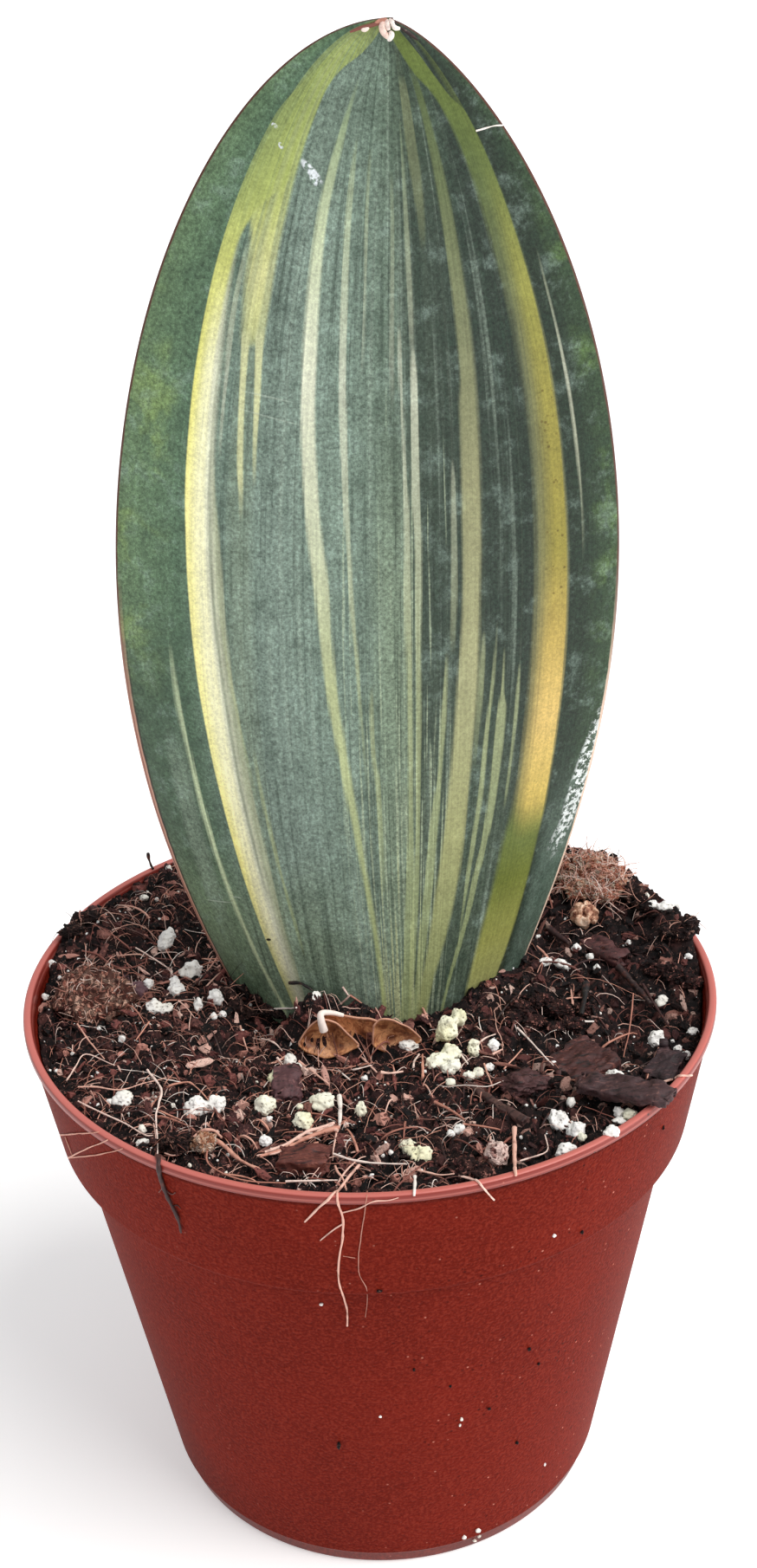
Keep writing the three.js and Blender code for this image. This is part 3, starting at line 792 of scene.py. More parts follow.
# %% Masks for stripes and smears
STRIPE_LOW = 118.0
STRIPE_HIGH = 326.0
leaf_finish, tree, shader = new_finish("variegated leaf skin")
leaf_uv = add(tree, "ShaderNodeUVMap", uv_map="leaf_map").outputs[0]
across = part(leaf_uv, "X") * 2.0 - 1.0
leaf_span_mm = (LEAF["Tip height"] - LEAF["Foot height"]) / MM
height_mm = part(leaf_uv, "Y") * leaf_span_mm + LEAF["Foot height"] / MM
level = (height_mm - STRIPE_LOW) / (STRIPE_HIGH - STRIPE_LOW)
curve_level = level * 2.0 - 1.0
curve_place = add(
    tree, "ShaderNodeCombineXYZ", {"X": curve_level, "Y": curve_level, "Z": curve_level}
).outputs[0]


def stripe(rows, across, soft_left=0.005, soft_right=0.005):
    """One between a stripe's left and right edges, which follow its rows down the leaf."""
    node = add(tree, "ShaderNodeVectorCurve", {"Vector": curve_place})
    rows = sorted(rows)
    for channel, curve in enumerate(node.mapping.curves):
        for i, row in enumerate(rows):
            value = (*row[1:], 1.0)[channel]
            x = 2.0 * (row[0] - STRIPE_LOW) / (STRIPE_HIGH - STRIPE_LOW) - 1.0
            if i in (0, len(rows) - 1):
                curve.points[min(i, 1) * (len(curve.points) - 1)].location = (x, value)
            else:
                curve.points.new(x, value)
        for point in curve.points:
            point.handle_type = "AUTO_CLAMPED"
    node.mapping.extend = "HORIZONTAL"
    node.mapping.update()
    edges = add(tree, "ShaderNodeSeparateXYZ", {0: node})
    after_left = (across - Field(edges.outputs["X"])).ease(-soft_left, soft_left)
    before_right = (-across + Field(edges.outputs["Y"])).ease(-soft_right, soft_right)
    return after_left * before_right * Field(edges.outputs["Z"])


def smears(*marks):
    """Oval marks on the leaf; each is (across, height, length, width, turn, strength), in mm."""
    whole = None
    for at_across, at_height, length_mm, width_mm, degrees, strength in marks:
        x = (across - at_across) * (LEAF["Half width"] / MM)
        y = height_mm - at_height
        c, s = math.cos(math.radians(degrees)), math.sin(math.radians(degrees))
        along_it = (x * c + y * s) / (length_mm / 2)
        across_it = (y * c - x * s) / (width_mm / 2)
        mark = (along_it * along_it + across_it * across_it).ease(1.2, 0.4) * strength
        whole = whole.most(mark) if whole else mark
    return whole


print("stripe masks are ready")

# %% [markdown]
# ### The skin between the stripes
#
# The skin is a waxy grey-green, pale and bluish on the left of the middle, darker on the
# right, and a fuller green beyond the bands. It carries hair-thin pale streaks that follow the
# veins, a cloudy green mottling near the margins, and a grain of tiny pale dots. The streaks
# are noise that is stretched some forty times along the leaf.

# %% Draw the skin's streaks, clouds and dots
place = object_place(tree)


def streaks(fineness, stretch, detail=2.0, seed=0.0):
    """Noise drawn out along the leaf's veins."""
    lined_up = add(
        tree, "ShaderNodeCombineXYZ",
        {"X": across * fineness + seed, "Y": height_mm * stretch, "Z": seed},
    ).outputs[0]
    return mottle(lined_up, 1.0, detail, 0.6)


fine = streaks(85.0, 0.02)
coarse = streaks(34.0, 0.012, seed=7.3)
frayed = (fine - 0.5) * 0.022 + across
wavering = (streaks(4.0, 0.05, 1.0, 3.1) - 0.5) * 0.006 + across
clouds = mottle(place, 150.0, 6.0, 0.72)
dots = mottle(place, 1500.0, 3.0, 0.8)
print("streaks, clouds and dots are ready")

# %% Lay the skin between the stripes
low_right = across.ease(0.78, 0.86) * height_mm.ease(182.0, 150.0)
right_foot = window(across, 0.1, 0.62, 0.08) * height_mm.ease(215.0, 150.0)
left_foot = across.ease(-0.70, -0.78) * window(height_mm, 148.0, 209.0, 12.0)
# Painted light: the low left of the blade is painted lighter where the rolled foot shades it, and a
# strip by the lower left margin gets a painted bluish sheen.
left_base_painted_light = across.ease(0.0, -0.35) * height_mm.ease(166.0, 138.0)
painted_sheen = window(across, -0.86, -0.775, 0.02) * window(height_mm, 140.0, 184.0, 8.0)
patches = mottle(place, 75.0, 3.0, 0.6, 0.4).ease(0.5, 0.66)
left_green = across.ease(-0.76, -0.84) * window(height_mm, 204.0, 282.0, 14.0)
right_green = across.ease(0.86, 0.95) * window(height_mm, 196.0, 285.0, 14.0)
centre_low = window(across, 0.03, 0.16, 0.05) * height_mm.ease(262.0, 215.0)
top_shade = window(across, -0.44, 0.5, 0.06) * height_mm.ease(288.0, 312.0)
inner = window(across, -0.66, 0.62, 0.04)
middle = window(across, -0.12, 0.34, 0.05) * height_mm.ease(300.0, 215.0)
middle_lines = (fine - (level * 0.30 + 0.46)).ease(0.0, 0.07)
base_patch = window(across, -0.015, 0.25, 0.02)
base_lines = (fine - (level * 1.7 + 0.36).least(1.0)).ease(-0.04, 0.08)
skin = paint(
    ramp(part(leaf_uv, "X"), [
        (0.0, (98, 122, 88)), (0.06, (94, 120, 90)), (0.13, (84, 110, 86)),
        (0.2, (108, 128, 114)), (0.32, (122, 140, 128)), (0.46, (117, 136, 122)),
        (0.53, (98, 115, 100)), (0.6, (60, 73, 62)), (0.75, (48, 60, 51)),
        (0.86, (36, 47, 38)), (0.93, (40, 54, 41)), (1.0, (56, 76, 52)),
    ]),
    (low_right * 0.75, (92, 110, 98)),
    (right_foot * 0.6, (84, 98, 82)),
    (left_foot * 0.75, (60, 82, 64)),
    # painted light on the low left, and a painted sheen by the left margin
    (left_base_painted_light * 0.55, (134, 154, 124)),
    (painted_sheen * 0.5, (138, 156, 136)),
    (patches * left_green * 0.75, (122, 146, 88)),
    (patches * right_green * 0.8, (88, 114, 62)),
    (clouds.ease(0.5, 0.72) * 0.35, (142, 162, 152)),
    (clouds.ease(0.5, 0.3) * 0.40, (44, 66, 54)),
    (centre_low * 0.5, (144, 162, 136)),
    (top_shade * 0.35, (74, 92, 72)),
    (inner * coarse.ease(0.52, 0.74) * 0.26, (156, 172, 156)),
    (inner * coarse.ease(0.47, 0.3) * 0.42, (46, 64, 52)),
    (inner * fine.ease(0.45, 0.28) * 0.35, (40, 56, 46)),
    (middle * middle_lines * 0.55, (166, 178, 150)),
    (base_patch * base_lines * 0.8, (158, 164, 124)),
)
skin = dim(skin, (dots * 1.8 + 0.1).most(0.4))
print("skin laid with", len(tree.nodes), "nodes")

# %% Lay the broad stripes
def climb_ramp(stops):
    """A colour that changes up the leaf; stops are (height in mm, colour), lowest first."""
    span = STRIPE_HIGH - STRIPE_LOW
    return ramp(level, [((h - STRIPE_LOW) / span, colour) for h, colour in stops])


yellow = climb_ramp([
    (122, (196, 198, 136)), (140, (226, 222, 152)), (158, (244, 236, 146)), (180, (252, 246, 164)),
    (235, (250, 243, 160)), (262, (232, 228, 130)), (280, (206, 208, 122)), (296, (168, 180, 102)),
    (312, (146, 160, 92)),
])
cream = climb_ramp([
    (125, (160, 172, 118)), (170, (178, 188, 138)), (200, (186, 194, 146)), (230, (200, 206, 174)),
    (262, (226, 229, 204)), (290, (192, 203, 166)), (308, (150, 168, 130)),
])
khaki = climb_ramp([
    (122, (140, 148, 98)), (140, (150, 156, 106)), (165, (162, 164, 114)), (200, (168, 168, 126)),
    (240, (150, 150, 112)), (270, (128, 133, 98)), (295, (104, 115, 78)), (312, (84, 98, 60)),
])
olive = climb_ramp([
    (122, (160, 162, 104)), (135, (148, 150, 80)), (150, (108, 118, 48)), (163, (96, 110, 54)),
    (172, (112, 114, 74)), (210, (112, 114, 82)), (270, (98, 104, 76)), (300, (86, 100, 54)),
    (318, (98, 114, 52)),
])
gold = climb_ramp([
    (162, (150, 146, 70)), (168, (200, 176, 92)), (188, (214, 184, 110)), (205, (184, 160, 86)),
    (225, (144, 134, 62)), (255, (146, 138, 66)), (280, (146, 146, 72)), (300, (98, 112, 56)),
])
lobe_colour = climb_ramp([(268, (206, 208, 140)), (282, (208, 208, 146)), (293, (180, 188, 112)),
                          (302, (160, 174, 98)), (312, (146, 160, 92))])
lobe_wear = coarse.ease(0.3, 0.62) * 0.45 + 0.5
fringe_wear = coarse * 0.5 + 0.55
top_wear = (height_mm.ease(284.0, 306.0) * coarse.ease(0.62, 0.38) * 0.5).flip()
pale_side = stripe(LEFT_BAND, across - 0.03, 0.03, 0.02) * height_mm.ease(285.0, 262.0)
skin = paint(
    skin,
    (stripe(LEFT_LOBE, frayed, 0.02, 0.016) * lobe_wear, lobe_colour),
    (stripe(LEFT_FRINGE, frayed, 0.01, 0.008) * fringe_wear, (180, 186, 154)),
    (stripe(LEFT_BAND, wavering, 0.004, 0.012) * top_wear, yellow),
    (pale_side * 0.65, (240, 240, 214)),
    (stripe(BAND_SHADE, wavering, 0.006, 0.006) * 0.55, (88, 104, 84)),
    (stripe(LEFT_CREAM, frayed, 0.01, 0.01) * 0.95, cream),
    (stripe(RIGHT_CREAM, frayed, 0.012, 0.012) * 0.92, khaki),
    (stripe(RIGHT_BAND, frayed, 0.02, 0.01) * 0.95, olive),
    (stripe(RIGHT_GOLD, frayed, 0.045, 0.006), gold),
    (stripe(TOP_OLIVE, frayed, 0.01, 0.008) * 0.7, (112, 120, 88)),
    (stripe(EDGE_LINE, frayed, 0.012, 0.008) * 0.9, (204, 218, 176)),
)
print("broad stripes laid")

# %% Lay the thin stripes
fingers = [(stripe(rows, across) * 0.9, (208, 210, 160)) for rows in FINGERS]
pale_lines = [(stripe(rows, frayed) * 0.55, cream) for rows in PALE_LINES]
skin = paint(skin, *fingers, *pale_lines)
print("thin stripes laid, nodes now", len(tree.nodes))

# %% [markdown]
# ### Freckles, scuffs and the margin
#
# Small marks make a leaf look grown and handled. The gold band has rusty freckles. There are
# white scuffs near the top, a crust of hard-water salts on the right margin, and faint
# scratches low on the left. The margin itself is a hard, reddish-brown thread with a paler
# line inside it, and the distance to the margin that the blade tree stored gives both lines.

# %% Lay the freckles, scuffs and scratches
freckle_zone = stripe(RIGHT_GOLD, across, 0.02, 0.01) * window(height_mm, 212.0, 264.0, 6.0)
freckles = cells(place, 900.0).ease(0.34, 0.16) * mottle(place, 260.0).ease(0.46, 0.6)
crust = mottle(place, 900.0, 3.0, 0.7)
scuffs = smears(
    (-0.375, 300.0, 9.0, 1.6, -28.0, 1.0), (-0.345, 298.6, 4.0, 1.8, -30.0, 1.0),
    (-0.60, 304.5, 2.6, 0.8, -25.0, 1.0), (-0.70, 308.0, 3.0, 0.7, -15.0, 1.0),
)
salts = smears((0.955, 170.0, 38.0, 5.2, 84.0, 1.0), (0.90, 158.0, 9.0, 2.4, 70.0, 0.5))
scratches = smears(
    (-0.80, 144.5, 9.0, 0.35, 14.0, 1.0), (-0.69, 147.4, 3.0, 0.3, 10.0, 1.0),
    (-0.42, 259.0, 12.0, 0.4, -12.0, 0.6), (-0.40, 255.0, 16.0, 0.35, -14.0, 0.5),
)
dark_speck = smears((-0.577, 138.0, 1.6, 0.7, 20.0, 1.0))
skin = paint(
    skin,
    (freckles * freckle_zone * 0.75, (92, 74, 30)),
    (scuffs * crust.ease(0.42, 0.56), (226, 232, 236)),
    (salts * crust.ease(0.46, 0.56), (222, 228, 226)),
    (scratches * 0.6, (190, 202, 186)),
    (dark_speck, (34, 34, 26)),
)
skin = dim(skin, dots * 1.2 + 0.4, fine * 0.5 + 0.75, coarse * 0.3 + 0.85, clouds * 0.6 + 0.7)
print("marks laid, nodes now", len(tree.nodes))

# %% Draw the margin's lines, in mm from the edge, and end the finish
from_margin = (mottle(place, 260.0, 2.0) - 0.5) * 0.4 + carried(tree, "to_margin") / MM
low_margin = height_mm.ease(226.0, 176.0)
left_margin = low_margin * across.ease(0.1, -0.1)
right_margin = low_margin * across.ease(-0.1, 0.1)
skin = paint(
    skin,
    (from_margin.ease(0.75, 0.35), (88, 48, 38)),
    (window(from_margin, 0.15, 1.2, 0.12) * left_margin * 0.85, (216, 158, 138)),
    (window(from_margin, 0.5, 0.78, 0.1) * left_margin * 0.8, (112, 54, 44)),
    (window(from_margin, 1.25, 1.6, 0.12) * left_margin * 0.85, (52, 32, 28)),
    (window(from_margin, 0.2, 0.8, 0.1) * right_margin * 0.9, (238, 206, 184)),
)
skin_relief = dots * 0.35 + fine * 0.4 + clouds * 0.5
dress(shader, skin, clouds * 0.16 + dots * 0.10 + 0.36, skin_relief, 0.22 * MM, 0.55, 0.3)
serve(blade_tree, joined, leaf_finish)
print("leaf finish has", len(tree.nodes), "nodes")

# %% Grow the blade
blade = cook("leaf_blade", blade_tree, bpy.data.meshes.new("leaf seed"), LEAF)
print("blade spans", round(blade.dimensions.x / MM, 1), "mm by", round(blade.dimensions.z / MM, 1))
hand_over(blade, "leaf", "snake_plant")

# %% [markdown]
# ## The lie of the soil
#
# The pot is full of potting mix: ground bark, peat and coconut fibre, with white grains of
# perlite. The frame's own soil has the right level, mounds and hollows, with a pocket under
# each piece that is set in it. Its surface is read from above on a fine grid, the pockets are
# filled, and the result is the ground that every small thing here lies on. A ray from above
# is the simplest way to read it, since the soil has no overhangs. A dozen small rises and
# hollows are added to what is read, such as a bank behind the dry scale and a hollow before it.

# %% Read the frame's soil from above
GROUND_STEP = 1.0 * MM
GROUND_REACH = 76
SOIL_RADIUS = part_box("soil")[1].x - 1.2 * MM
OFF_EDGES = 0.013 * MM
RAY_START = POT_HEIGHT + 0.1

frame_soil = carrier(frame["nodes"]["soil"])
ground_line = np.arange(-GROUND_REACH, GROUND_REACH + 1) * GROUND_STEP
ground_grid = np.zeros((len(ground_line), len(ground_line)))
for i, x in enumerate(ground_line):
    for j, y in enumerate(ground_line):
        inward = min(1.0, SOIL_RADIUS / max(math.hypot(x, y), 1e-6))
        start = Vector((x * inward + OFF_EDGES, y * inward + OFF_EDGES, RAY_START))
        hit = frame_soil.ray_cast(start, Vector((0.0, 0.0, -1.0)))[0]
        ground_grid[i, j] = hit.z


def slide(grid, reach, gather):
    """The highest, lowest or mean value of a grid in a square window."""
    wide = np.pad(grid, reach, mode="edge")
    side = 2 * reach + 1
    windows = np.lib.stride_tricks.sliding_window_view(wide, (side, side))
    return gather(windows, axis=(2, 3))


print("the frame's soil is read at", ground_grid.size, "places")

# %% Fill the pockets and add the rises
POCKET_REACH = 4
ground_grid = slide(slide(ground_grid, POCKET_REACH, np.max), POCKET_REACH, np.min)
ground_grid = slide(slide(ground_grid, 1, np.mean), 1, np.mean)
# Each rise is the place of its middle, its reach along X and Y, and its height, all in mm.
RISES = [
    (-4, -23, 15, 4.2, -6.0), (-6, -14.5, 14, 2.2, 4.5), (-31, -17, 4, 4, -3.0),
    (-24, -15, 6, 5, -3.5), (-24, -3, 5, 6, -5.5), (-13, -15, 7, 3, 6.3),
    (-48, 52, 14, 10, -0.4), (-66, 29, 8, 8, 3.5), (60, 36, 10, 12, 1.0),
    (68, 0, 8, 22, 1.5), (10, -15.5, 7, 4, -4.5), (50, 21, 7, 6, 2.0),
]
for at_x, at_y, reach_x, reach_y, rise in RISES:
    off_x = (ground_line[:, None] / MM - at_x) / reach_x
    off_y = (ground_line[None, :] / MM - at_y) / reach_y
    ground_grid += rise * MM * np.exp(-(off_x ** 2 + off_y ** 2))


def ground(x, y):
    """The height of the filled ground at a place or at many places."""
    column = np.clip(np.asarray(x) / GROUND_STEP + GROUND_REACH, 0, 2 * GROUND_REACH - 1e-6)
    row = np.clip(np.asarray(y) / GROUND_STEP + GROUND_REACH, 0, 2 * GROUND_REACH - 1e-6)
    i, j = np.floor(column).astype(int), np.floor(row).astype(int)
    s, t = column - i, row - j
    near = ground_grid[i, j] * (1 - t) + ground_grid[i, j + 1] * t
    far = ground_grid[i + 1, j] * (1 - t) + ground_grid[i + 1, j + 1] * t
    return near * (1 - s) + far * s


print("the ground lies from", round(ground_grid.min() / MM, 1), "to",
      round(ground_grid.max() / MM, 1), "mm")

# %% [markdown]
# ### The soil's surface
#
# Seen close, the mix is a litter of small tilted chips with dark gaps between them. A patchwork
# of cells does this: each cell is one chip with its own height and tilt, and the edge between
# two cells is a gap. Two patchworks, one of chips and one of crumbs, are laid on the ground,
# and a fine noise roughens both.


# %% A patchwork of tilted chips
GAP_WIDTH = 0.22
MOST_TILT = 0.7


def chips(x, y, size, seed):
    """Heights from about nought to one over a litter of chips of one size."""
    draw = np.random.default_rng(seed)
    count = int(2 * GROUND_REACH * GROUND_STEP / size) + 4
    corner = draw.random((count, count, 2))
    lift = draw.random((count, count))
    tilt = draw.uniform(-MOST_TILT, MOST_TILT, (count, count, 2))
    column = x / size + count / 2
    row = y / size + count / 2
    nearest = np.full(x.shape, 9.0)
    second = np.full(x.shape, 9.0)
    height = np.zeros(x.shape)
    for step_x in (-1, 0, 1):
        for step_y in (-1, 0, 1):
            i = np.clip(np.floor(column).astype(int) + step_x, 0, count - 1)
            j = np.clip(np.floor(row).astype(int) + step_y, 0, count - 1)
            off_x = column - i - corner[i, j, 0]
            off_y = row - j - corner[i, j, 1]
            distance = np.hypot(off_x, off_y)
            closer = distance < nearest
            second = np.where(closer, nearest, np.minimum(second, distance))
            here = lift[i, j] + tilt[i, j, 0] * off_x + tilt[i, j, 1] * off_y
            height = np.where(closer, here, height)
            nearest = np.where(closer, distance, nearest)
    gap = np.clip((second - nearest) / GAP_WIDTH, 0, 1)
    return height * gap * gap * (3 - 2 * gap)


print("chips are ready")

# %% Shape the soil
SOIL_ACROSS = 225
EDGE_GAP = 0.3 * MM
CHIP_SIZE = 3.6 * MM
CRUMB_SIZE = 1.7 * MM
CHIP_RISE = 1.5
CRUMB_RISE = 0.9
GRIT_RISE = 0.35
FULL_RISE = 2.6


def wall_radius(z):
    """The pot's inner wall at a height."""
    heights = [h for _, h in INSIDE_WALL]
    return np.interp(z, heights, [r for r, _ in INSIDE_WALL])


square = np.linspace(-1, 1, SOIL_ACROSS)
a, b = (side.ravel() for side in np.meshgrid(square, square, indexing="ij"))
ring = np.maximum(np.abs(a), np.abs(b))
turn = np.arctan2(b, a)
quarter = np.round(turn / (math.pi / 2)) * (math.pi / 2)
round_turn = quarter + np.tan(turn - quarter) * (math.pi / 4)
edge_radius = float(wall_radius(POT_HEIGHT - 3.0 * MM)) - EDGE_GAP
soil_x = ring * edge_radius * np.cos(round_turn)
soil_y = ring * edge_radius * np.sin(round_turn)
fine_noise = np.array([
    noise.fractal(Vector((x, y, 0.0)) * 700.0, 0.9, 2.1, 4) for x, y in zip(soil_x, soil_y)
])
rough = (
    CHIP_RISE * chips(soil_x, soil_y, CHIP_SIZE, 11)
    + CRUMB_RISE * chips(soil_x, soil_y, CRUMB_SIZE, 12)
    + GRIT_RISE * fine_noise
    - CHIP_RISE
)
soil_z = ground(soil_x, soil_y) + rough * MM
at_wall = wall_radius(soil_z) - EDGE_GAP
pull = np.minimum(1.0, at_wall / np.maximum(np.hypot(soil_x, soil_y), 1e-9))
on_edge = ring > 1 - 1e-6
fit = np.where(on_edge, at_wall / edge_radius, pull)
soil_points = np.stack([soil_x * fit, soil_y * fit, soil_z], 1)
print("the soil's top runs from", round(soil_z.min() / MM, 1), "to", round(soil_z.max() / MM, 1))

# %% Close the soil's body down to the pot's floor
top_faces = [
    (i * SOIL_ACROSS + j, (i + 1) * SOIL_ACROSS + j, (i + 1) * SOIL_ACROSS + j + 1,
     i * SOIL_ACROSS + j + 1)
    for i in range(SOIL_ACROSS - 1) for j in range(SOIL_ACROSS - 1)
]
last = SOIL_ACROSS - 1
border = [i * SOIL_ACROSS for i in range(last)]
border += [last * SOIL_ACROSS + j for j in range(last)]
border += [i * SOIL_ACROSS + last for i in range(last, 0, -1)]
border += list(range(last, 0, -1))
SOIL_FLOOR = FLOOR_TOP + 0.3 * MM
side_heights = [
    COLLAR_FOOT + 10.0 * MM, COLLAR_FOOT + 1.8 * MM, COLLAR_FOOT + 0.6 * MM,
    0.7 * COLLAR_FOOT, 0.35 * COLLAR_FOOT, SOIL_FLOOR,
]
side_points = []
for deep in side_heights:
    for k in border:
        x, y, z = soil_points[k]
        reach = (float(wall_radius(deep)) - EDGE_GAP) / math.hypot(x, y)
        side_points.append((x * reach, y * reach, deep))
rings = [border] + [
    [len(soil_points) + row * len(border) + k for k in range(len(border))]
    for row in range(len(side_heights))
]
side_faces = [
    (upper[k], lower[k], lower[(k + 1) % len(border)], upper[(k + 1) % len(border)])
    for upper, lower in zip(rings, rings[1:]) for k in range(len(border))
]
foot_point = len(soil_points) + len(side_points)
foot_faces = [
    (rings[-1][k], foot_point, rings[-1][(k + 1) % len(border)]) for k in range(len(border))
]
soil_mesh = mesh_from(
    "potting_mix",
    [*soil_points, *side_points, (0.0, 0.0, SOIL_FLOOR)],
    top_faces + side_faces + foot_faces,
)
chip_rise = np.zeros(len(soil_mesh.vertices))
chip_rise[:len(soil_points)] = (rough + CHIP_RISE) / FULL_RISE
keep(soil_mesh, "chip_rise", chip_rise)
open_ground = np.zeros(len(soil_mesh.vertices))
before_scale = np.hypot((soil_x / MM + 4.0) / 14.0, (soil_y / MM + 22.0) / 4.5) < 1.0
open_ground[:len(soil_points)] = np.where(before_scale, 0.12, ring < 0.985)
keep(soil_mesh, "open_ground", open_ground)
print("soil body closed with", len(soil_mesh.polygons), "faces")

# %% [markdown]
# ### The soil's finish
#
# Wet peat is nearly black, and the bark in it is a dark purplish red-brown with a few tan
# bits. The chips' own height, kept as an attribute, darkens the low gaps between them as
# painted shade, so the chips' faces stand out, and each cell of a coarse pattern gets its own
# brown, as separate chips would have.

# %% Mix the soil's finish
def damp_side(place):
    """One on the right of the pot, where the mix is wetter and darker."""
    return (part(place, "X") + (mottle(place, 60.0) - 0.5) * 0.03).ease(16 * MM, 34 * MM)


soil_finish, tree, shader = new_finish("dark bark and peat mix")
place = object_place(tree)
patchwork = add(tree, "ShaderNodeTexVoronoi", {"Vector": place, "Scale": 420.0})
patch_tone = Field(add(tree, "ShaderNodeSeparateColor", {0: patchwork.outputs["Color"]}).outputs[0])
crumbs = mottle(place, 1300.0, 4.0, 0.7)
clouds = mottle(place, 90.0, 4.0, 0.65)
threads = mottle(object_place(tree, (1.0, 6.0, 2.0)), 320.0, 3.0, 0.6, 2.0)
earth = paint(
    ramp(patch_tone, [
        (0.0, (6, 4, 5)), (0.3, (18, 10, 11)), (0.55, (50, 26, 26)),
        (0.75, (12, 8, 9)), (0.9, (96, 56, 52)), (1.0, (40, 24, 24)),
    ]),
    (clouds.ease(0.4, 0.65) * 0.5, (24, 16, 18)),
    (crumbs.ease(0.58, 0.68) * 0.6, (186, 132, 120)),
    (threads.ease(0.66, 0.70) * 0.7, (206, 158, 140)),
    # the low gaps between chips are darkened as painted shade
    (carried(tree, "chip_rise").ease(0.42, 0.02) * 0.95, (7, 5, 6)),
    (damp_side(place) * 0.5, (10, 5, 6)),
)
dress(shader, earth, crumbs * 0.2 + 0.72, crumbs * 0.7 + threads * 0.3, 0.5 * MM, 0.9, 0.25)
soil_mesh.materials.append(soil_finish)
soil = put_in_scene("potting_mix", soil_mesh)
hand_over(soil, "soil", "soil")

# %% [markdown]
# ## The pieces that stand out of the mix
#
# The frame has a plain rounded solid for each large grain of perlite, each chip of bark, the
# lumps of coconut fibre and the twig. Each one becomes its own finer piece here, in the same
# place. The solid is copied and welded, given an even skin by the Remesh modifier, and then
# every point of the skin is moved along its normal by a noise that suits the stuff: popcorn
# bubbles for perlite, long ridges for bark, a crumbly grain for coir.

# %% Refine a piece of the frame
def refined(node, slot, finish, skin_size, shape, lift=0.0):
    """A finer copy of a frame's piece, with a skin of noise; shape gives the move in metres."""
    built = bmesh.new()
    built.from_mesh(frame["nodes"][node].data)
    bmesh.ops.remove_doubles(built, verts=built.verts, dist=WELD)
    welded = put_in_scene(node + "_rough", mesh_of(built, node))
    skin = welded.modifiers.new("even skin", "REMESH")
    skin.mode = "VOXEL"
    skin.voxel_size = skin_size
    softer = welded.modifiers.new("softer edges", "SMOOTH")
    softer.iterations = 2
    piece = plain_mesh(welded, node + "_fine")
    low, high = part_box(node)
    middle = (low + high) / 2
    moves = [v.normal * shape(v.co - middle) for v in piece.data.vertices]
    for vertex, move in zip(piece.data.vertices, moves):
        vertex.co += move + Vector((0.0, 0.0, lift))
    piece.data.materials.clear()
    piece.data.materials.append(finish)
    hand_over(piece, slot, node)


print("refining is ready")

# %% [markdown]
# ### Perlite
#
# Perlite is volcanic glass that was heated until it popped. A grain is white and chalky, made
# of many small bubbles, with open pits where bubbles broke. Cells give the bubbles, and the
# finish darkens the pits as painted shade and dusts the grain with peat in patches.

# %% Mix the perlite's finish
perlite_finish, tree, shader = new_finish("chalky popped perlite")
place = object_place(tree)
pits = cells(place, 1100.0)
dust = mottle(place, 420.0, 4.0, 0.65)
chalk = paint(
    ramp(mottle(place, 60.0, 2.0, 0.5), [
        (0.35, (254, 252, 250)), (0.55, (250, 247, 242)), (0.7, (244, 238, 224)),
        (0.8, (236, 224, 202)),
    ]),
    (dust.ease(0.56, 0.76) * 0.4, (196, 180, 170)),
    # the pits are darkened as painted shade
    (pits.ease(0.22, 0.08) * 0.6, (126, 106, 94)),
)
dress(shader, chalk, dust * 0.2 + 0.72, pits.ease(0.05, 0.4) * 0.6 + dust * 0.4, 0.45 * MM, 0.9)
print("perlite finish has", len(tree.nodes), "nodes")

# %% Refine the perlite
PERLITE_SKIN = 0.26 * MM


def popped(at):
    """Bubbles of about a millimetre, with a few pits."""
    near = noise.voronoi(at / (1.4 * MM))[0]
    bubble = 0.45 - near[0]
    lump = noise.noise(at / (2.4 * MM) + Vector((4.0, 1.0, 9.0)))
    return (0.75 * bubble + 0.45 * lump + 0.16 * noise.noise(at / (0.5 * MM))) * MM - 0.1 * MM


perlite_nodes = sorted(name for name in frame["nodes"] if name.startswith("perlite"))
for node in perlite_nodes:
    refined(node, "perlite", perlite_finish, PERLITE_SKIN, popped)
print("perlite pieces:", len(perlite_nodes))

# %% [markdown]
# ### Bark
#
# Bark chips are flat, with a grain of long ridges and torn ends. The ridges follow each chip's
# own length, so the noise is stretched along the chip's turn. Their colours run from nearly
# black to a rusty red, and each chip gets its own share of red.

# %% Bark chips: the turn of the grain in degrees, then a dark, a main and a pale tone
BARK_CHIPS = {
    "bark_plank_on_rim": (-30, (38, 24, 27), (72, 47, 49), (126, 86, 80)),
    "red_bark_chip": (35, (30, 16, 17), (74, 38, 36), (150, 92, 80)),
    "purple_bark_chip": (95, (44, 26, 30), (90, 56, 60), (150, 104, 100)),
    "front_bark_chip": (-12, (44, 20, 20), (106, 54, 46), (156, 94, 78)),
    "back_bark_plank": (-58, (40, 21, 22), (86, 48, 48), (142, 92, 82)),
    "right_bark_chip": (50, (26, 17, 20), (54, 36, 40), (108, 74, 74)),
}


def bark_like(name, degrees, dark, main, pale):
    """A ridged finish of three tones, whose grain is turned about Z."""
    finish, tree, shader = new_finish(name)
    place = add(tree, "ShaderNodeTexCoord").outputs["Object"]
    turned = add(tree, "ShaderNodeMapping", {
        "Vector": place, "Rotation": (0.0, 0.0, math.radians(-degrees)), "Scale": (1.0, 4.5, 3.0),
    }).outputs[0]
    grain = mottle(turned, 260.0, 5.0, 0.62, 0.6)
    flecks = mottle(place, 700.0, 3.0, 0.6)
    colour = paint(
        ramp(grain, [(0.36, dark), (0.48, main), (0.58, main), (0.7, pale)]),
        (flecks.ease(0.6, 0.72) * 0.5, pale),
        (flecks.ease(0.42, 0.28) * 0.5, dark),
    )
    dress(shader, colour, grain * 0.3 + 0.5, grain * 0.8 + flecks * 0.2, 0.45 * MM, 0.8)
    return finish


print("bark tones for", len(BARK_CHIPS), "chips")

